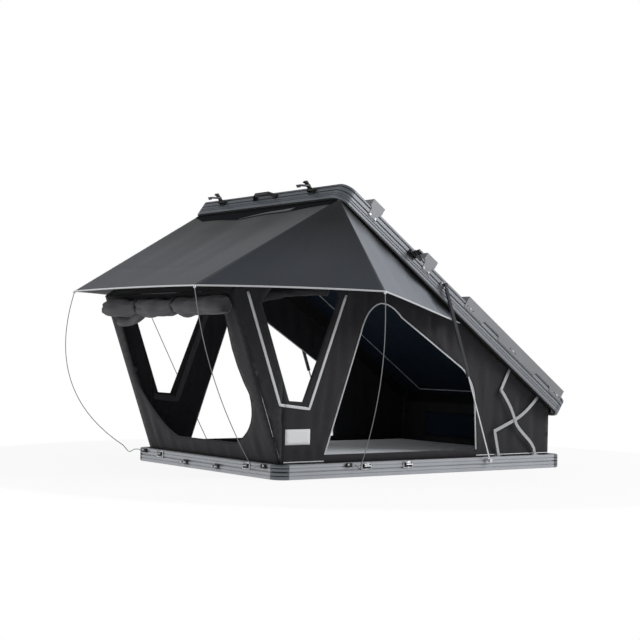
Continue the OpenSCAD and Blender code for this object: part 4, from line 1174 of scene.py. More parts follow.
@dataclass
class SideWall:
    """One side wall: canvas with a V window and a door, its tapes and its stretch in front of the tray.

    The pairs are width and thickness of a tape, and the triple is spacing, length and radius of a stitch. A
    loop holds X and Z of its corners.
    """

    shop: Workshop
    side: Side
    step: float = 0.026
    trim_step: float = 0.03
    tape: Pair = (0.016, 0.0025)
    tape_lift: float = 0.002
    band: Pair = (0.036, 0.0015)
    band_lift: float = -0.004
    piping: float = 0.0044
    foot_piping: float = 0.0035
    piping_lift: float = 0.003
    foot_rise: float = 0.012
    stitch: Point = (0.011, 0.007, 0.0009)
    window: Loop = ((-0.960, 0.419), (-0.874, 0.413), (-0.640, 0.985), (-0.700, 1.16), (-1.02, 1.10),
                    (-1.150, 0.945))
    window_tape: Loop = ((-1.240, 0.998), (-1.020, 0.398), (-0.826, 0.375), (-0.587, 1.002))
    door_front: Loop = ((-0.719, 0.124), (-0.612, 0.425), (-0.482, 0.790))
    door_arch: tuple[Pair, ...] = ((-0.437, 0.948), (-0.338, 0.966), (-0.262, 0.968), (-0.184, 0.888))
    door_heel: tuple[Pair, ...] = ((0.279, 0.605), (0.372, 0.535), (0.385, 0.420), (0.400, 0.124))
    patch: tuple[Pair, Pair] = ((-0.983, 0.182), (-0.819, 0.266))

    def __post_init__(self) -> None:
        """Work out the outlines."""
        top = PLAN.on_lid(PLAN.lid_length - PLAN.canvas_inset, PLAN.strip_low)
        rear = PLAN.on_lid(PLAN.canvas_inset, PLAN.strip_low)
        foot, front = PLAN.front_foot, PLAN.front_top
        share = (foot[0] - front[0]) / (top[0] - front[0])
        seam_top: Pair = (foot[0], front[1] + (top[1] - front[1]) * share)
        heel: Pair = (PLAN.canvas_x, PLAN.wall_foot)
        self.rear_part: list[Pair] = [foot, heel, rear, top, seam_top]
        self.front_part: list[Pair] = [foot, seam_top, front]
        arch, turn = self.door_arch, self.door_heel
        self.door: list[Pair] = [
            *self.door_front, *bend(self.door_front[-1], arch[0], arch[1], 8), *bend(*arch[1:], 6),
            turn[0], *bend(*turn[:3], 7), turn[3]]
        self.patch_loop = rectangle(*self.patch)
        loops = ([foot, heel, rear, top, front], self.window, self.door, self.window_tape)
        self.edges = [spaced(loop, 0.05, True) for loop in loops]

    def place(self, flat: np.ndarray, lift: float = 0.0) -> np.ndarray:
        """Put flat points on the draped wall.

        Args:
            flat: rows of X and Z.
            lift: distance outwards from the canvas.

        Returns:
            Rows of X, Y and Z.
        """
        x, z = flat[:, 0], flat[:, 1]
        calm = calm_near(flat, self.edges, 0.08) ** 1.2
        if self.side is Side.RIGHT:
            loop = np.array(self.patch_loop)
            away = np.where(inside(flat, loop), 0.0, edge_distance(flat, [loop]))
            calm = calm * np.clip((away - 0.012) / 0.06, 0, 1)
        lean = x - 0.36 * (z - 0.1) * np.where(x < -0.5, np.clip((-0.5 - x) * 2.2, -1, 1), 0.1)
        folds = 0.0078 * np.sin(54 * lean + 3.5 * z) + 0.0054 * np.sin(91 * lean - 6 * z + 1.3)
        folds = folds * np.where(x > 0.3, 0.4, 1.0)
        broad = 0.006 * np.sin(9.0 * x + 2.0 * z + 0.7) + 0.004 * np.sin(7.0 * z - 5.0 * x)
        broad = broad + 0.011 * np.sin(85 * x + 9 * z) * np.exp(-np.abs(z - 0.15) / 0.11) * (x < -0.72)
        out = PLAN.canvas_y + calm * np.clip(folds + broad - 0.006, -0.02, 0.003) + lift
        return np.column_stack([x, self.side.value * out, z])

    def build(self) -> None:
        """Make the canvas, the tapes and the piping of the wall."""
        word, palette, tools = self.side.word, self.shop.palette, self.shop.tools
        canvas, tape = palette[Finish.CANVAS], palette[Finish.TAPE]
        wall, leg = Carrier("base", Fold.DOWN), Carrier("hoop_lower", Fold.TO_LEG)
        flat, faces = filled(self.rear_part, (self.window, self.door), self.step)
        rear = cloth_piece(f"canvas_{word}", flat, faces, self.place(flat), canvas)
        front_flat, front_faces = filled(self.front_part, (self.window,), self.step)
        front = cloth_piece(f"canvas_corner_{word}", front_flat, front_faces, self.place(front_flat), canvas)
        out = np.array([0, self.side.value, 0])
        line = spaced(self.window_tape, self.trim_step)
        split = int(np.argmax(line[:, 0] > -PLAN.canvas_x))
        front_line, rear_line = line[:split + 1], line[split:]
        over = self.place(front_line, self.tape_lift)
        front_tape = ribbon(f"window_tape_front_{word}", over, out, *self.tape, tape)
        over = self.place(rear_line, self.tape_lift)
        rear_tape = ribbon(f"window_tape_{word}", over, out, *self.tape, tape)
        door_line = self.place(spaced(self.door, self.trim_step), self.piping_lift)
        piping = tools.tube(f"door_piping_{word}", [door_line], self.piping, tape)
        foot = tools.tube(f"foot_piping_{word}", self._foot_lines(), self.foot_piping, tape)
        stitches = self._stitches()
        under = self.place(rear_line, self.band_lift)
        inner = ribbon(f"window_band_{word}", under, -out, *self.band, palette[Finish.DOOR_BACK])
        trims = [rear_tape, piping, foot, stitches, inner]
        if self.side is Side.RIGHT:
            trims.append(self._patch())
        for piece in trims:
            wall.take(piece)
        leg.take(front_tape)
        wall.take(rear, f"wall_{word}")
        leg.take(front, *(["front_corners"] if self.side is Side.RIGHT else []))

    def _foot_lines(self) -> list[np.ndarray]:
        """The foot of the wall behind the door and in front of it."""
        z = PLAN.wall_foot + self.foot_rise
        runs = (((0.405, z), (PLAN.canvas_x - 0.004, z)), ((-PLAN.canvas_x + 0.012, z), (-0.724, z)))
        return [self.place(spaced(run, 0.04), self.piping_lift) for run in runs]

    def _stitches(self) -> bpy.types.Object:
        """Stitch rows beside the window tape and along two seams."""
        shifts = ((0.016, 0.012), (-0.016, -0.012))
        lines = [np.array(self.window_tape)[1:] + shift for shift in shifts]
        lines.append([(0.46, 0.10), (0.46, 0.50), (0.30, 0.72), (0.10, 0.86)])
        lines.append([(-0.66, 0.30), (-0.54, 0.62), (-0.50, 0.95)])
        paths = [self.place(spaced(line, self.trim_step), 0.0012) for line in lines]
        thread = self.shop.palette[Finish.THREAD]
        return self.shop.tools.row(f"wall_stitches_{self.side.word}", paths, *self.stitch, thread)

    def _patch(self) -> bpy.types.Object:
        """The blank sewn patch under the window."""
        flat, faces = filled(self.patch_loop, (), 0.02)
        points = self.place(flat, 0.0025)
        return cloth_piece("blank_patch", flat, faces, points, self.shop.palette[Finish.PATCH], 0.002)


@dataclass
class FrontWall:
    """The leaning front wall with its open doorway, and the rolled door over it."""

    shop: Workshop
    step: float = 0.028
    foot_lift: float = 0.0012
    half: float = 0.6972
    band: float = 0.07
    sill: float = 0.10
    roll_radius: float = 0.052
    roll_ends: Pair = (-0.691, 0.606)
    straps: tuple[float, ...] = (-0.20, 0.21)
    tail_ends: Pair = (0.16, 0.50)
    tail_radius: float = 0.027
    webbing: Pair = (0.026, 0.002)

    def __post_init__(self) -> None:
        """Work out the wall's own directions."""
        foot, top = np.array(PLAN.front_foot), np.array(PLAN.front_top)
        self.length = float(np.linalg.norm(top - foot))
        self.up = (top - foot) / self.length
        self.out = np.array([-self.up[1], self.up[0]])
        self.outline = rectangle((-self.half, 0), (self.half, self.length))
        top_edge = self.length - self.band
        right, left = (-0.588, 0.40), (0.30, self.sill)
        self.doorway: list[Pair] = [
            right, *bend(right, (-0.575, 0.19), (-0.305, self.sill), 9),
            left, *bend(left, (0.46, self.sill + 0.04), (0.60, 0.40), 9),
            (0.615, 0.47), (0.59, top_edge), (-0.575, top_edge), (-0.545, 0.66), (-0.549, 0.56),
            (-0.566, 0.465)]

    def at(self, across: np.ndarray, up: np.ndarray, out: np.ndarray | float) -> np.ndarray:
        """Points of the leaning wall from their place on it."""
        foot = np.array(PLAN.front_foot)
        xz = foot[None, :] + np.outer(up, self.up) + np.outer(np.broadcast_to(out, np.shape(up)), self.out)
        return np.column_stack([xz[:, 0], across, xz[:, 1] + self.foot_lift])

    def drape(self, flat: np.ndarray) -> np.ndarray:
        """Put flat points on the wall with its folds."""
        loops = [spaced(loop, 0.05, True) for loop in (self.outline, self.doorway)]
        calm = calm_near(flat, loops, 0.09)
        y, s = flat[:, 0], flat[:, 1]
        folds = 0.004 * np.sin(48 * y + 5 * s) + 0.003 * np.sin(83 * y - 7 * s + 0.6)
        return self.at(y, s, 0.0015 + calm * (folds + 0.003))

    def build(self) -> None:
        """Make the wall, its edging, the rolled door and its straps."""
        palette, tools = self.shop.palette, self.shop.tools
        leg, hoop = Carrier("hoop_lower", Fold.TO_LEG), Carrier("hoop_upper", Fold.TO_HOOP)
        flat, faces = filled(self.outline, (self.doorway,), self.step)
        wall = cloth_piece("canvas_front", flat, faces, self.drape(flat), palette[Finish.CANVAS])
        edge = tools.tube("doorway_edging", [self.drape(spaced(self.doorway, 0.03, True))], 0.003,
                          palette[Finish.CANVAS], 8, True)
        leg.take(edge)
        leg.take(wall, "wall_front")
        roll, tail, straps = self._roll(), self._tail(), self._straps()
        hoop.take(straps)
        hoop.take(tail)
        hoop.take(roll, "door_roll")

    def _roll_line(self, y: np.ndarray) -> tuple[np.ndarray, np.ndarray]:
        """Centre line and radius of the rolled door along the hoop."""
        nearest = np.min(np.abs(y[:, None] - np.array(self.straps)[None, :]), axis=1)
        slack = np.clip(nearest / 0.20, 0, 1)
        radius = self.roll_radius - 0.007 * (1 - slack) ** 2
        radius = radius + 0.003 * np.sin(17 * y) + 0.0015 * np.sin(41 * y)
        up = self.length - 0.055 - 0.010 * np.sin(np.pi * np.clip(slack, 0, 1)) - 0.006 * slack
        centre = self.at(y, up, 0.0600 - 0.004 * (1 - slack))
        return centre, radius

    def _roll(self) -> bpy.types.Object:
        """The door, rolled up round a sagging line."""
        y = np.linspace(*self.roll_ends, 150)
        return self._rolled("rolled_door", y, *self._roll_line(y))

    def _tail(self) -> bpy.types.Object:
        """The end of the door's screen, a thinner roll that hangs under the first."""
        y = np.linspace(*self.tail_ends, 44)
        up = self.length - 0.085 - 0.062 * np.clip((y - y.min()) / 0.2, 0, 1) ** 0.8
        radius = self.tail_radius * (1 + 0.12 * np.sin(31 * y))
        return self._rolled("rolled_screen", y, self.at(y, up, 0.058), radius)

    def _rolled(self, name: str, y: np.ndarray, centre: np.ndarray, radius: np.ndarray) -> bpy.types.Object:
        """Wrapped and crumpled cloth round a line.

        Args:
            name: name of the piece.
            y: places along the line.
            centre: points of the line.
            radius: radius of the roll at each place.

        Returns:
            The object.
        """
        rows, ring = len(y), 40
        angles = np.linspace(0, math.tau, ring, endpoint=False)
        to_end = np.minimum(y - y.min(), y.max() - y)
        points, flat = [], []
        for k, s in enumerate(y):
            fold = 0.07 * np.sin(3 * angles + 4 * s) + 0.05 * np.sin(6 * angles - 11 * s)
            fold += 0.03 * np.sin(9 * angles + 7 * s)
            fold += 0.035 * np.sin(2 * angles + 29 * s) + 0.03 * math.sin(17 * s) * np.sin(4 * angles + 1)
            fold += 0.06 * np.exp(-((angles - 3.9 - 0.25 * math.sin(6 * s)) / 0.12) ** 2)
            grow = 0.94 * radius[k] * (1 + fold) * (1 - 0.2 * math.exp(-to_end[k] / 0.025))
            for a, g in zip(angles, grow):
                points.append(centre[k] + np.array([math.cos(a) * g, 0, math.sin(a) * g]))
                flat.append((s, a * self.roll_radius))
        faces = grid_faces(rows, ring, ring=True)
        for end, row in ((-1, 0), (1, rows - 1)):
            faces += self._spiral_end(points, flat, centre[row], row * ring, ring, end)
        # The rolls take the lighter canvas, which paints light onto them
        return outward(new_piece(name, points, faces, self.shop.palette[Finish.DOOR_BACK], np.array(flat)))

    @staticmethod
    def _spiral_end(points: list, flat: list, centre: np.ndarray, first: int, ring: int,
                    end: int) -> list[tuple]:
        """Close one end of the roll with stepped turns of cloth.

        Args:
            points: points of the roll, which grow.
            flat: cloth coordinates, which grow.
            centre: middle of the end.
            first: number of the end ring's first point.
            ring: points in a ring.
            end: which end, as a sign.

        Returns:
            The faces of the end.
        """
        faces, last = [], list(range(first, first + ring))
        outer = [np.array(points[k]) for k in last]
        for share, depth in ROLL_TURNS:
            start = len(points)
            for k, p in enumerate(outer):
                shift = (p - centre) * share * (1 - 0.06 * k / ring)
                points.append(centre + shift + np.array([0, -end * depth, 0]))
                flat.append((share, k / ring))
            new = list(range(start, start + ring))
            faces += [(last[k], last[(k + 1) % ring], new[(k + 1) % ring], new[k]) for k in range(ring)]
            last = new
        faces.append(tuple(last))
        return faces

    def _straps(self) -> bpy.types.Object:
        """Webbing loops that tie the roll to the hoop."""
        angles = np.linspace(0, math.tau, 36, endpoint=False)
        out = np.column_stack([np.cos(angles), np.zeros(36), np.sin(angles)])
        webbing = self.shop.palette[Finish.WEBBING]
        parts = []
        for k, (c, r) in enumerate(zip(*self._roll_line(np.array(self.straps)))):
            path = c + out * (r * 1.02 + 0.002)
            parts.append(ribbon(f"strap_{k}", path, out, *self.webbing, webbing, True))
        return joined("door_straps", parts)


@dataclass
class InnerCloth:
    """Rear wall, hood between lid and hoop, ceiling lining and the rolled window flaps."""

    shop: Workshop
    step: float = 0.03
    rear_half: float = 0.6985
    hood_half: float = 0.691
    lining_inset: float = 0.0705
    lining_edge: float = 0.125
    lining_edge_half: float = 0.515
    lining_low: float = 0.0735
    lining_thick: float = 0.0145
    lining_grid: tuple[int, int] = (130, 92)
    quilt: float = 0.16
    quilt_depth: float = 0.005
    pocket: tuple[Pair, Pair] = ((-0.45, 0.13), (0.45, 0.29))
    pocket_in: float = 0.012
    pocket_puff: float = 0.012
    flap_radius: float = 0.024
    flap_in: float = 0.04
    flap_line: Loop = ((-1.19, 0.955), (-1.06, 0.985), (-0.80, 1.02), (-0.69, 1.02))

    def build(self) -> None:
        """Make the inner cloth."""
        self._rear_wall()
        self._hood()
        self._lining()
        for side in Side:
            self._flap(side)

    def _rear_wall(self) -> None:
        """The low wall at the hinge end, with a pocket inside."""
        palette = self.shop.palette
        top = PLAN.on_lid(PLAN.canvas_inset, PLAN.strip_low)[1] + 0.003
        outline = rectangle((-self.rear_half, PLAN.wall_foot), (self.rear_half, top))
        flat, faces = filled(outline, (), self.step)
        calm = calm_near(flat, [np.array(outline)], 0.06)
        x = PLAN.canvas_x + calm * (0.004 * np.sin(31 * flat[:, 0]) - 0.003)
        wall = cloth_piece("canvas_rear", flat, faces, np.column_stack([x, flat]), palette[Finish.CANVAS])
        pocket_line = rectangle(*self.pocket)
        pocket_flat, pocket_faces = filled(pocket_line, (), 0.02)
        puff = self.pocket_puff * calm_near(pocket_flat, [np.array(pocket_line)], 0.05)
        points = np.column_stack([PLAN.canvas_x - self.pocket_in - puff, pocket_flat])
        pocket = cloth_piece("rear_pocket", pocket_flat, pocket_faces, points, palette[Finish.LINING])
        carrier = Carrier("base", Fold.DOWN)
        carrier.take(pocket)
        carrier.take(wall, "wall_rear")

    def _hood(self) -> None:
        """The sheet from the lid front down to the hoop."""
        top = np.array(PLAN.on_lid(PLAN.lid_length - PLAN.canvas_inset, PLAN.strip_low + 0.0005))
        low = np.array(PLAN.front_top) + (0.0, 0.003)
        length = float(np.linalg.norm(low - top))
        outline = rectangle((-self.hood_half, 0.004), (self.hood_half, length - 0.002))
        flat, faces = filled(outline, (), self.step)
        share = flat[:, 1] / length
        calm = calm_near(flat, [np.array(outline)], 0.15)
        run = top[None, :] + np.outer(share, low - top)
        drop = calm * (0.016 + 0.006 * np.sin(11 * flat[:, 0]) * np.sin(9 * flat[:, 1]))
        points = np.column_stack([run[:, 0] + 0.45 * drop, flat[:, 0], run[:, 1] - 0.9 * drop])
        hood = cloth_piece("canvas_hood", flat, faces, points, self.shop.palette[Finish.CANVAS])
        Carrier("awning_front", Fold.TO_PANEL).take(hood)

    def _lining(self) -> None:
        """The quilted ceiling under the lid."""
        low, high = self.lining_inset, PLAN.lid_length - self.lining_inset
        half = PLAN.half_width - self.lining_inset
        rows, cols = self.lining_grid
        points, flat, faces = [], [], []
        for layer in range(2):
            for along in np.linspace(low, high, rows):
                for y in np.linspace(-half, half, cols):
                    wave = math.sin(math.pi * along / self.quilt) * math.sin(math.pi * y / self.quilt)
                    edge = min(1.0, min(along - low, high - along, half - abs(y)) / 0.03)
                    rise = self.lining_thick if layer else self.quilt_depth * (1 - abs(wave) ** 0.5 * edge)
                    x, z = PLAN.on_lid(along, self.lining_low + rise)
                    points.append((x, y, z))
                    flat.append((along, y))
            faces += grid_faces(rows, cols, layer * rows * cols)
        rim = list(range(cols)) + [r * cols + cols - 1 for r in range(1, rows)]
        rim += [(rows - 1) * cols + k for k in range(cols - 2, -1, -1)]
        rim += [r * cols for r in range(rows - 2, 0, -1)]
        shift = rows * cols
        faces += [(a, b, b + shift, a + shift) for a, b in zip(rim, rim[1:] + rim[:1])]
        cloth = self.shop.palette[Finish.LINING]
        lining = outward(new_piece("quilted_ceiling", points, faces, cloth, np.array(flat)))
        self._lining_piping(self.lining_edge, high - 0.05, self.lining_edge_half)
        Carrier("lid", slot="lining").take(lining, "ceiling")

    def _lining_piping(self, low: float, high: float, half: float) -> None:
        """The pale edge of the ceiling."""
        corners = [(low, -half), (low, half), (high, half), (high, -half)]
        rim = []
        for along, y in spaced(corners, 0.05, True):
            x, z = PLAN.on_lid(along, self.lining_low - 0.001)
            rim.append((x, y, z))
        tape = self.shop.palette[Finish.TAPE]
        edge = self.shop.tools.tube("ceiling_piping", [np.array(rim)], 0.003, tape, 8, True)
        Carrier("lid", slot="lining").take(edge)

    def _flap(self, side: Side) -> None:
        """The window's rolled flap, tied up inside the wall."""
        line = spaced(self.flap_line, 0.012)
        rows, ring = len(line), 20
        points, flat = [], []
        for (x, z), t in zip(line, np.linspace(0, 1, rows)):
            tie = 0.25 * math.exp(-((t - 0.45) / 0.04) ** 2)
            size = self.flap_radius * (1 + 0.10 * math.sin(9 * t) - tie)
            for a in np.linspace(0, math.tau, ring, endpoint=False):
                ripple = size * (1 + 0.07 * math.sin(4 * a + 20 * t))
                y = PLAN.canvas_y - self.flap_in + ripple * math.cos(a)
                points.append((x, side.value * y, z + ripple * math.sin(a)))
                flat.append((t * 0.5, a * self.flap_radius))
        faces = grid_faces(rows, ring, ring=True) + end_caps(rows, ring)
        canvas = self.shop.palette[Finish.CANVAS]
        roll = outward(new_piece(f"window_flap_{side.word}", points, faces, canvas, np.array(flat)))
        Carrier("base", Fold.DOWN).take(roll)


# Awning


@dataclass(frozen=True)
class AwningLines:
    """Corners of the awning."""

    apex_inset: float = 0.024
    line_low: float = -0.00425
    front_x: float = -1.554
    front_half: float = 0.679
    front_z: float = 1.017
    side_x: float = -0.756
    side_out: float = 1.25
    side_z: float = 1.004
    end_along: float = 0.980
    end_inset: float = 0.060

    def apex(self, side: Side) -> Vector:
        """The corner under the lid's front."""
        x, z = PLAN.on_lid(PLAN.lid_length - self.apex_inset, self.line_low)
        return Vector((x, side.value * (PLAN.half_width - self.apex_inset), z))

    def front(self, side: Side) -> Vector:
        """A front corner."""
        return Vector((self.front_x, side.value * self.front_half, self.front_z))

    def outer(self, side: Side) -> Vector:
        """A side corner."""
        return Vector((self.side_x, side.value * self.side_out, self.side_z))

    def end(self, side: Side) -> Vector:
        """The end of the seam along the lid."""
        x, z = PLAN.on_lid(self.end_along, self.line_low)
        return Vector((x, side.value * (PLAN.half_width - self.end_inset), z))

    @property
    def front_normal(self) -> Vector:
        """The way that the front panel faces."""
        run = self.front(Side.RIGHT) - self.apex(Side.RIGHT)
        return run.cross(Vector((0, 1, 0))).normalized()


AWNING_LINES = AwningLines()


@dataclass
class Panel:
    """One draped panel of the awning, between a top edge and a hem, each a pair of ends.

    Shallow creases, called fans, run down it, and packing leaves a fold line across it.
    """

    top: Sequence[Vector]
    low: Sequence[Vector]
    fans: int
    crease: float
    fold_line: float = 0.0
    sag: float = 0.022
    hem_rise: float = 0.012

    def __post_init__(self) -> None:
        """Work out the way that the panel sags."""
        self.top, self.low = ([np.array(end) for end in edge] for edge in (self.top, self.low))
        (ta, tb), (la, lb) = self.top, self.low
        inward = np.cross(la - ta, lb - ta if np.allclose(ta, tb) else tb - ta)
        inward /= np.linalg.norm(inward)
        self.inward = -inward if inward[2] > 0 else inward

    def ends(self, u: float) -> tuple[np.ndarray, np.ndarray]:
        """Points of the top edge and of the straight hem at a share across."""
        (ta, tb), (la, lb) = self.top, self.low
        return ta + (tb - ta) * u, la + (lb - la) * u

    def place(self, u: float, v: float) -> np.ndarray:
        """The draped point at a share across and a share down.

        Args:
            u: share across, from the first end to the second.
            v: share down, from the top edge to the hem.

        Returns:
            X, Y and Z.
        """
        top, low = self.ends(u)
        arch = 4 * u * (1 - u)
        p = top + (low - top) * (v * (1 - self.hem_rise * arch * v))
        belly = self.sag * arch * math.sin(math.pi * min(1.0, 0.15 + 0.75 * v)) * min(1.0, 4 * v)
        fan = self.crease * math.sin(math.tau * self.fans * u) * arch ** 0.5 * math.sin(math.pi * v ** 0.5)
        fan += self.fold_line * (1 - u) * arch ** 0.5 * math.exp(-((v - 0.70 - 0.06 * u) / 0.02) ** 2)
        ripple = math.sin(math.tau * (2.3 * self.fans * u + 0.3))
        fine = 0.25 * self.crease * ripple * arch * math.sin(math.pi * v) ** 2
        return p + self.inward * (belly + fan + fine)

    def hem(self, count: int) -> np.ndarray:
        """Points of the hem, which rises a little between its corners."""
        line = []
        for u in np.linspace(0, 1, count):
            top, low = self.ends(u)
            line.append(top + (low - top) * (1 - self.hem_rise * 4 * u * (1 - u)))
        return np.array(line)


@dataclass
class Awning:
    """The awning: one sheet that runs over its ridges, cut there into a piece for each panel.

    The band of painted shade under the lid has a depth at each of its places across the front panel, and the
    flap has two ends. All are shares of the panel.
    """

    shop: Workshop
    rows: int = 46
    cols: int = 56
    thickness: float = 0.0012
    hem_radius: float = 0.0045
    shade_band_at: tuple[float, ...] = (0.0, 0.12, 0.4, 1.0)
    facing: tuple[float, ...] = (0.012, 0.085, 0.110, 0.055)
    shade_band_lift: float = 0.003
    flap: Pair = (0.42, 0.76)
    flap_lift: float = 0.0055
    tip_drop: float = 0.006

    def build(self) -> None:
        """Make the five panels with their hems, and the corner caps."""
        lines, ends = AWNING_LINES, (Side.LEFT, Side.RIGHT)
        top, low = [lines.apex(side) for side in ends], [lines.front(side) for side in ends]
        self._panel("awning_front", Panel(top, low, 3, 0.0035, 0.004))
        for side in Side:
            word, apex, end = side.word, lines.apex(side), lines.end(side)
            front, outer = lines.front(side), lines.outer(side)
            self._panel(f"awning_corner_{word}", Panel((apex, apex), (front, outer), 5, 0.0010))
            self._panel(f"awning_side_{word}", Panel((apex, end), (outer, end), 4, 0.005))
            tips = [(corner - Vector((0, 0, self.tip_drop)), (0, 0, 1)) for corner in (front, outer)]
            bright = self.shop.palette[Finish.BRIGHT]
            caps = self.shop.tools.studs(f"awning_tips_{word}", tips, 0.008, 0.010, bright)
            Carrier(f"awning_corner_{word}", slot="bright_steel").take(caps)

    def _panel(self, name: str, panel: Panel) -> None:
        """Make one panel with its hem.

        Args:
            name: CAD node that the panel replaces, and body that it rides on.
            panel: its edges and folds.
        """
        (ta, tb), (la, lb) = panel.top, panel.low
        top_width, width = np.linalg.norm(tb - ta), np.linalg.norm(lb - la)
        height = np.linalg.norm((la + lb) / 2 - (ta + tb) / 2)
        points, flat = [], []
        for v in np.linspace(0, 1, self.rows):
            for u in np.linspace(0, 1, self.cols):
                points.append(panel.place(u, v))
                flat.append(((u - 0.5) * (width * v + top_width * (1 - v)), v * height))
        points, flat, faces = welded(points, flat, grid_faces(self.rows, self.cols))
        palette = self.shop.palette
        # The side panels take the lighter copy of the cloth, a painted sheen
        finish = Finish.AWNING_SIDE if name.startswith("awning_side") else Finish.AWNING
        cloth = cloth_piece(f"{name}_cloth", flat, faces, points, palette[finish], self.thickness)
        hem = [panel.hem(self.cols)]
        trim = [self.shop.tools.tube(f"{name}_hem", hem, self.hem_radius, palette[Finish.TAPE], 8)]
        if panel.fold_line:
            trim += self._facing(panel)
        carrier = Carrier(name, slot="awning_cloth")
        for piece in trim:
            carrier.take(piece)
        carrier.take(cloth, name)

    def _facing(self, panel: Panel) -> list[bpy.types.Object]:
        """A black band along the top edge, the painted shade of the gap under the lid, with a grey flap that
        shows below it.
        """
        across = np.linspace(0.004, 0.996, 60)
        depth = np.interp(across, self.shade_band_at, self.facing)
        rows = np.column_stack([across, np.full(60, 0.004), depth])
        facing = self._strip("awning_shade_band", panel, self.shade_band_lift, rows, Finish.FACING)
        across = np.linspace(*self.flap, 24)
        depth = np.interp(across, self.shade_band_at, self.facing)
        rows = np.column_stack([across, depth - np.linspace(0.002, 0.034, 24), depth + 0.001])
        return [facing, self._strip("awning_flap", panel, self.flap_lift, rows, Finish.DOOR_BACK)]

    def _strip(self, name: str, panel: Panel, lift: float, rows: np.ndarray,
               finish: Finish) -> bpy.types.Object:
        """A narrow cloth strip laid on a panel.

        Args:
            name: name of the piece.
            panel: the panel that carries it.
            lift: height over the panel.
            rows: share across, and upper and lower share down, of each row of points.
            finish: the strip's finish.

        Returns:
            The object.
        """
        points, flat, count = [], [], 6
        for u, top, low in rows:
            for v in np.linspace(top, low, count):
                points.append(panel.place(u, v) - panel.inward * lift)
                flat.append((u, v))
        faces = grid_faces(len(rows), count)
        cloth = self.shop.palette[finish]
        return cloth_piece(name, np.array(flat), faces, np.array(points), cloth, self.thickness)


@dataclass
class SpringRods:
    """The four sprung wire rods that hold the awning out.

    Bends are points from the socket pin on, measured from the socket, and a bow is how far the middle of the
    long run then stands out. The right side rod mirrors the left one.
    """

    shop: Workshop
    radius: float = 0.0025
    socket_y: float = 0.640
    socket_x: float = -0.603
    face_x: float = -1.079
    face_y: float = 0.774
    height: float = 0.068
    hook: float = 0.010
    near_bends: tuple[Point, ...] = (
        (0, -0.014, 0), (0, 0.026, 0), (0, 0.058, -0.002), (-0.022, 0.088, -0.024), (-0.012, 0.112, 0.008))
    near_bow: Point = (-0.030, 0.040, -0.010)
    far_bends: tuple[Point, ...] = (
        (0, -0.014, 0), (0, 0.026, 0), (0, 0.120, 0.002), (-0.010, 0.175, -0.024), (-0.030, 0.215, 0.018))
    far_bow: Point = (-0.110, 0.150, -0.070)
    side_bends: tuple[Point, ...] = (
        (-0.014, 0, 0), (0.026, 0, 0), (0.046, 0, -0.002), (0.062, 0.022, -0.024), (0.078, 0.012, 0.008))
    side_bow: Point = (0.020, 0.040, 0.0)

    def build(self) -> None:
        """Make each rod."""
        lines = AWNING_LINES
        fronts = ((Side.RIGHT, self.near_bends, self.near_bow), (Side.LEFT, self.far_bends, self.far_bow))
        for side, bends, bow in fronts:
            foot = np.array((self.face_x, side.value * self.socket_y, self.height))
            self._rod(f"rod_front_{side.word}", foot + bends, lines.front(side), np.array(bow))
        foot = np.array((self.socket_x, self.face_y, self.height))
        for side in Side:
            mirror = np.array((1, side.value, 1))
            bends, bow = mirror * (foot + self.side_bends), mirror * self.side_bow
            self._rod(f"rod_side_{side.word}", bends, lines.outer(side), bow)

    def _rod(self, name: str, bends: np.ndarray, corner: Vector, bow: np.ndarray) -> None:
        """Make one rod.

        Args:
            name: CAD node that the rod replaces.
            bends: points from the socket pin to the foot of the bowed run.
            corner: awning corner that the rod holds.
            bow: how far the middle of the run stands out.
        """
        low, top = bends[-1], np.array(corner) - (0, 0, self.hook)
        pull = (low + top) / 2 + 2 * bow
        run = bowed(low, pull, top, np.linspace(0, 1, 60)[1:])
        path = self._eased(np.array([*bends, *run]), len(bends))
        rod = self.shop.tools.tube(f"{name}_wire", [path], self.radius, self.shop.palette[Finish.WIRE], 12)
        Carrier(name, slot="bright_steel").take(rod, name)

    @staticmethod
    def _eased(path: np.ndarray, count: int) -> np.ndarray:
        """Round the sharp bends near the socket."""
        share, longest = 0.35, 0.02
        out = [path[0]]
        for before, here, after in zip(path, path[1:count], path[2:]):
            ahead = min(share, longest / np.linalg.norm(after - here))
            a, b = here + (before - here) * share, here + (after - here) * ahead
            out += bowed(a, here, b, (0, 0.25, 0.5, 0.75, 1))
        return np.array(out + list(path[count:]))


# Bed


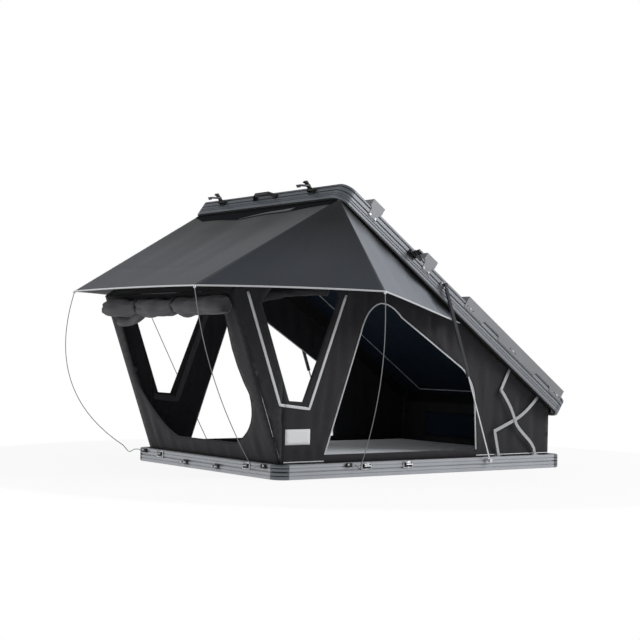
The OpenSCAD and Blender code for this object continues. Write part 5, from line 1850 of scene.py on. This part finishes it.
@dataclass
class Mattress:
    """The foam mattress in its cover: puffed by a short cloth run, with a piped seam."""

    shop: Workshop
    length: float = 1.890
    width: float = 1.310
    centre_x: float = 0.022
    low: float = 0.0405
    height: float = 0.054
    voxel: float = 0.020
    frames: int = 14
    most: float = 0.007
    corner: float = 0.055
    side_draw: float = 0.006
    pressure: float = 4.0
    stiffness: float = 25.0

    def build(self) -> None:
        """Make the mattress and its seams."""
        pad = self._form()
        self._puff(pad)
        soften = pad.modifiers.new("soften", "SUBSURF")
        soften.levels = soften.render_levels = 1
        settle(pad)
        self._map(pad)
        rim = [self._rim(inset=-0.001, z=self.low + self.height * share) for share in (0.16, 0.88)]
        seam = self.shop.tools.tube("mattress_piping", rim, 0.0035, self.shop.palette[Finish.PAD], 8, True)
        carrier = Carrier("base", slot="pad_cover")
        carrier.take(seam)
        carrier.take(pad, "mattress")

    def _rim(self, inset: float, z: float) -> np.ndarray:
        """A rounded rectangle whose long sides draw in a little."""
        half_l, half_w, r, draw = self.length / 2, self.width / 2, self.corner, self.side_draw
        points = []
        for k, (sx, sy) in enumerate(CORNER_SIGNS):
            for a in np.linspace(0, math.pi / 2, 8):
                turn = a + k * math.pi / 2
                x, y = sx * (half_l - r) + r * math.cos(turn), sy * (half_w - r) + r * math.sin(turn)
                points.append((x, y))
        line = spaced(points, 0.04, True)
        x, y = line[:, 0] / half_l, line[:, 1] / half_w
        line = line * np.column_stack([1 - draw * (1 - y ** 2), 1 - draw * (1 - x ** 2)])
        line = line * (1 - inset / half_l, 1 - inset / half_w)
        return np.column_stack([line[:, 0] + self.centre_x, line[:, 1], np.full(len(line), z)])

    def _form(self) -> bpy.types.Object:
        """The plain slab, remeshed evenly."""
        profile = ((0.012, 0.0), (0.003, 0.010), (0.003, self.height - 0.012), (0.014, self.height - 0.002),
                   (0.05, self.height))
        rings = [self._rim(inset, self.low + 0.001 + rise) for inset, rise in profile]
        rows, count = len(rings), len(rings[0])
        points = [p for ring in rings for p in ring]
        faces = grid_faces(rows, count, ring=True) + end_caps(rows, count)
        pad = new_piece("mattress_pad", points, faces, self.shop.palette[Finish.PAD])
        even = pad.modifiers.new("even", "REMESH")
        even.mode = "VOXEL"
        even.voxel_size = self.voxel
        return settle(outward(pad))

    def _puff(self, pad: bpy.types.Object) -> None:
        """Let the cover swell under pressure, and cap how far it moves."""
        rest = np.array([tuple(v.co) for v in pad.data.vertices])
        cloth = pad.modifiers.new("swell", "CLOTH")
        settings = cloth.settings
        settings.use_pressure = True
        settings.uniform_pressure_force = self.pressure
        settings.effector_weights.gravity = 0.0
        settings.tension_stiffness = settings.compression_stiffness = self.stiffness
        scene = bpy.context.scene
        cloth.point_cache.frame_start, cloth.point_cache.frame_end = 1, self.frames
        for step in range(1, self.frames + 1):
            scene.frame_set(step)
        settle(pad)
        moved = np.array([tuple(v.co) for v in pad.data.vertices]) - rest
        far = np.linalg.norm(moved, axis=1)
        moved *= np.minimum(1, self.most / np.maximum(far, 1e-9))[:, None]
        place = rest + moved
        place[:, 2] = np.maximum(place[:, 2], self.low)
        pad.data.vertices.foreach_set("co", place.astype(np.float32).ravel())
        pad.data.update()
        scene.frame_set(1)

    @staticmethod
    def _map(pad: bpy.types.Object) -> None:
        """Lay the cover's weave flat from above."""
        mesh = pad.data
        layer = mesh.uv_layers.new(name=FLAT_MAP)
        for loop in mesh.loops:
            p = mesh.vertices[loop.vertex_index].co
            layer.data[loop.index].uv = (p.x, p.y + p.z)
        mesh.polygons.foreach_set("use_smooth", np.ones(len(mesh.polygons), bool))


# Stage


@dataclass
class Studio:
    """Floor, light and the camera of the photograph."""

    eye: Point = (-5.395, -6.963, 0.695)
    yaw: float = math.radians(36.48)
    pitch: float = math.radians(1.21)
    roll: float = math.radians(1.04)
    focal_pixels: float = 1427.0
    floor_half: float = 30.0
    floor_drop: float = 0.002
    floor_fade: Pair = (1.4, 2.6)
    floor_glow: float = 0.88
    world_strength: float = 0.40

    def build(self) -> None:
        """Make the camera, the floor, the lamps and the world."""
        bpy.context.scene.view_settings.view_transform = "Standard"
        self._camera()
        self._floor()
        self._world()
        self._lamp("left softbox", (-5.5, 2.5, 4.2), 3.6, 170)
        self._lamp("right softbox", (4.0, -4.6, 4.0), 3.4, 280)

    def _camera(self) -> None:
        """The photograph's camera."""
        data = bpy.data.cameras.new("camera")
        data.sensor_width = SENSOR
        data.lens = self.focal_pixels * SENSOR / IMAGE_SIZE
        camera = bpy.data.objects.new("camera", data)
        bpy.context.scene.collection.objects.link(camera)
        level = math.cos(self.pitch)
        ahead = Vector((math.sin(self.yaw) * level, math.cos(self.yaw) * level, math.sin(self.pitch)))
        right = Vector((math.cos(self.yaw), -math.sin(self.yaw), 0.0))
        up = right.cross(ahead)
        c, s = math.cos(self.roll), math.sin(self.roll)
        right, up = right * c + up * s, up * c - right * s
        turn = Matrix((right, up, -ahead)).transposed().to_4x4()
        camera.matrix_world = Matrix.Translation(self.eye) @ turn
        bpy.context.scene.camera = camera

    def _floor(self) -> None:
        """A pale floor that turns white away from the tent."""
        h = self.floor_half
        material, sketch, shader = blank_material("studio floor")
        shader.inputs["Base Color"].default_value = shade(238, 238, 238)
        shader.inputs["Roughness"].default_value = 0.9
        place = sketch.add("ShaderNodeTexCoord").outputs["Object"]
        away = sketch.add("ShaderNodeVectorMath", {"operation": "LENGTH"}, Vector=place)
        far = sketch.add("ShaderNodeMapRange", Value=away.outputs["Value"], From_Min=self.floor_fade[0],
                         From_Max=self.floor_fade[1])
        light = sketch.add("ShaderNodeLightPath")
        seen = sketch.math("MAXIMUM", light.outputs["Is Camera Ray"], light.outputs["Is Glossy Ray"])
        glow = sketch.add("ShaderNodeEmission", Color=(1, 1, 1, 1), Strength=1.0)
        lit = sketch.math("MAXIMUM", far.outputs[0], self.floor_glow)
        blend = sketch.add("ShaderNodeMixShader", Fac=sketch.math("MULTIPLY", lit, seen))
        sketch.feed(blend.inputs[1], shader.outputs[0])
        sketch.feed(blend.inputs[2], glow.outputs[0])
        output = next(n for n in material.node_tree.nodes if n.type == "OUTPUT_MATERIAL")
        sketch.feed(output.inputs["Surface"], blend.outputs[0])
        floor = new_piece("floor", [(-h, -h, 0), (h, -h, 0), (h, h, 0), (-h, h, 0)], [(0, 1, 2, 3)], material)
        floor.location.z = -self.floor_drop

    def _world(self) -> None:
        """Even light all round, with a white background."""
        world = bpy.data.worlds.new("studio")
        world.use_nodes = True
        bpy.context.scene.world = world
        sketch = Sketch(world.node_tree)
        light = sketch.add("ShaderNodeLightPath")
        seen = sketch.math("MAXIMUM", light.outputs["Is Camera Ray"], light.outputs["Is Transmission Ray"])
        strength = sketch.math("MULTIPLY_ADD", seen, 1.0 - self.world_strength, self.world_strength)
        background = next(n for n in world.node_tree.nodes if n.type == "BACKGROUND")
        background.inputs["Color"].default_value = (1, 1, 1, 1)
        sketch.feed(background.inputs["Strength"], strength)

    @staticmethod
    def _lamp(name: str, place: Point, size: float, power: float) -> None:
        """A soft lamp that looks at the tent."""
        data = bpy.data.lights.new(name, "AREA")
        data.size, data.energy = size, power
        lamp = bpy.data.objects.new(name, data)
        bpy.context.scene.collection.objects.link(lamp)
        lamp.location = place
        lamp.rotation_euler = (Vector((0, 0, 0.7)) - Vector(place)).to_track_quat("-Z", "Y").to_euler()


def main(frame: dict) -> None:
    """Build and dress the tent.
    """
    logging.basicConfig(level=logging.INFO)
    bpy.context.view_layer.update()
    shop = Workshop(Palette(), PathTools())
    Studio().build()
    metal = MetalParts(shop)
    metal.dress(frame["nodes"])
    metal.build()
    for side in Side:
        SideWall(shop, side).build()
    FrontWall(shop).build()
    InnerCloth(shop).build()
    Awning(shop).build()
    SpringRods(shop).build()
    Mattress(shop).build()


if __name__ == "__main__":
    main(frame)
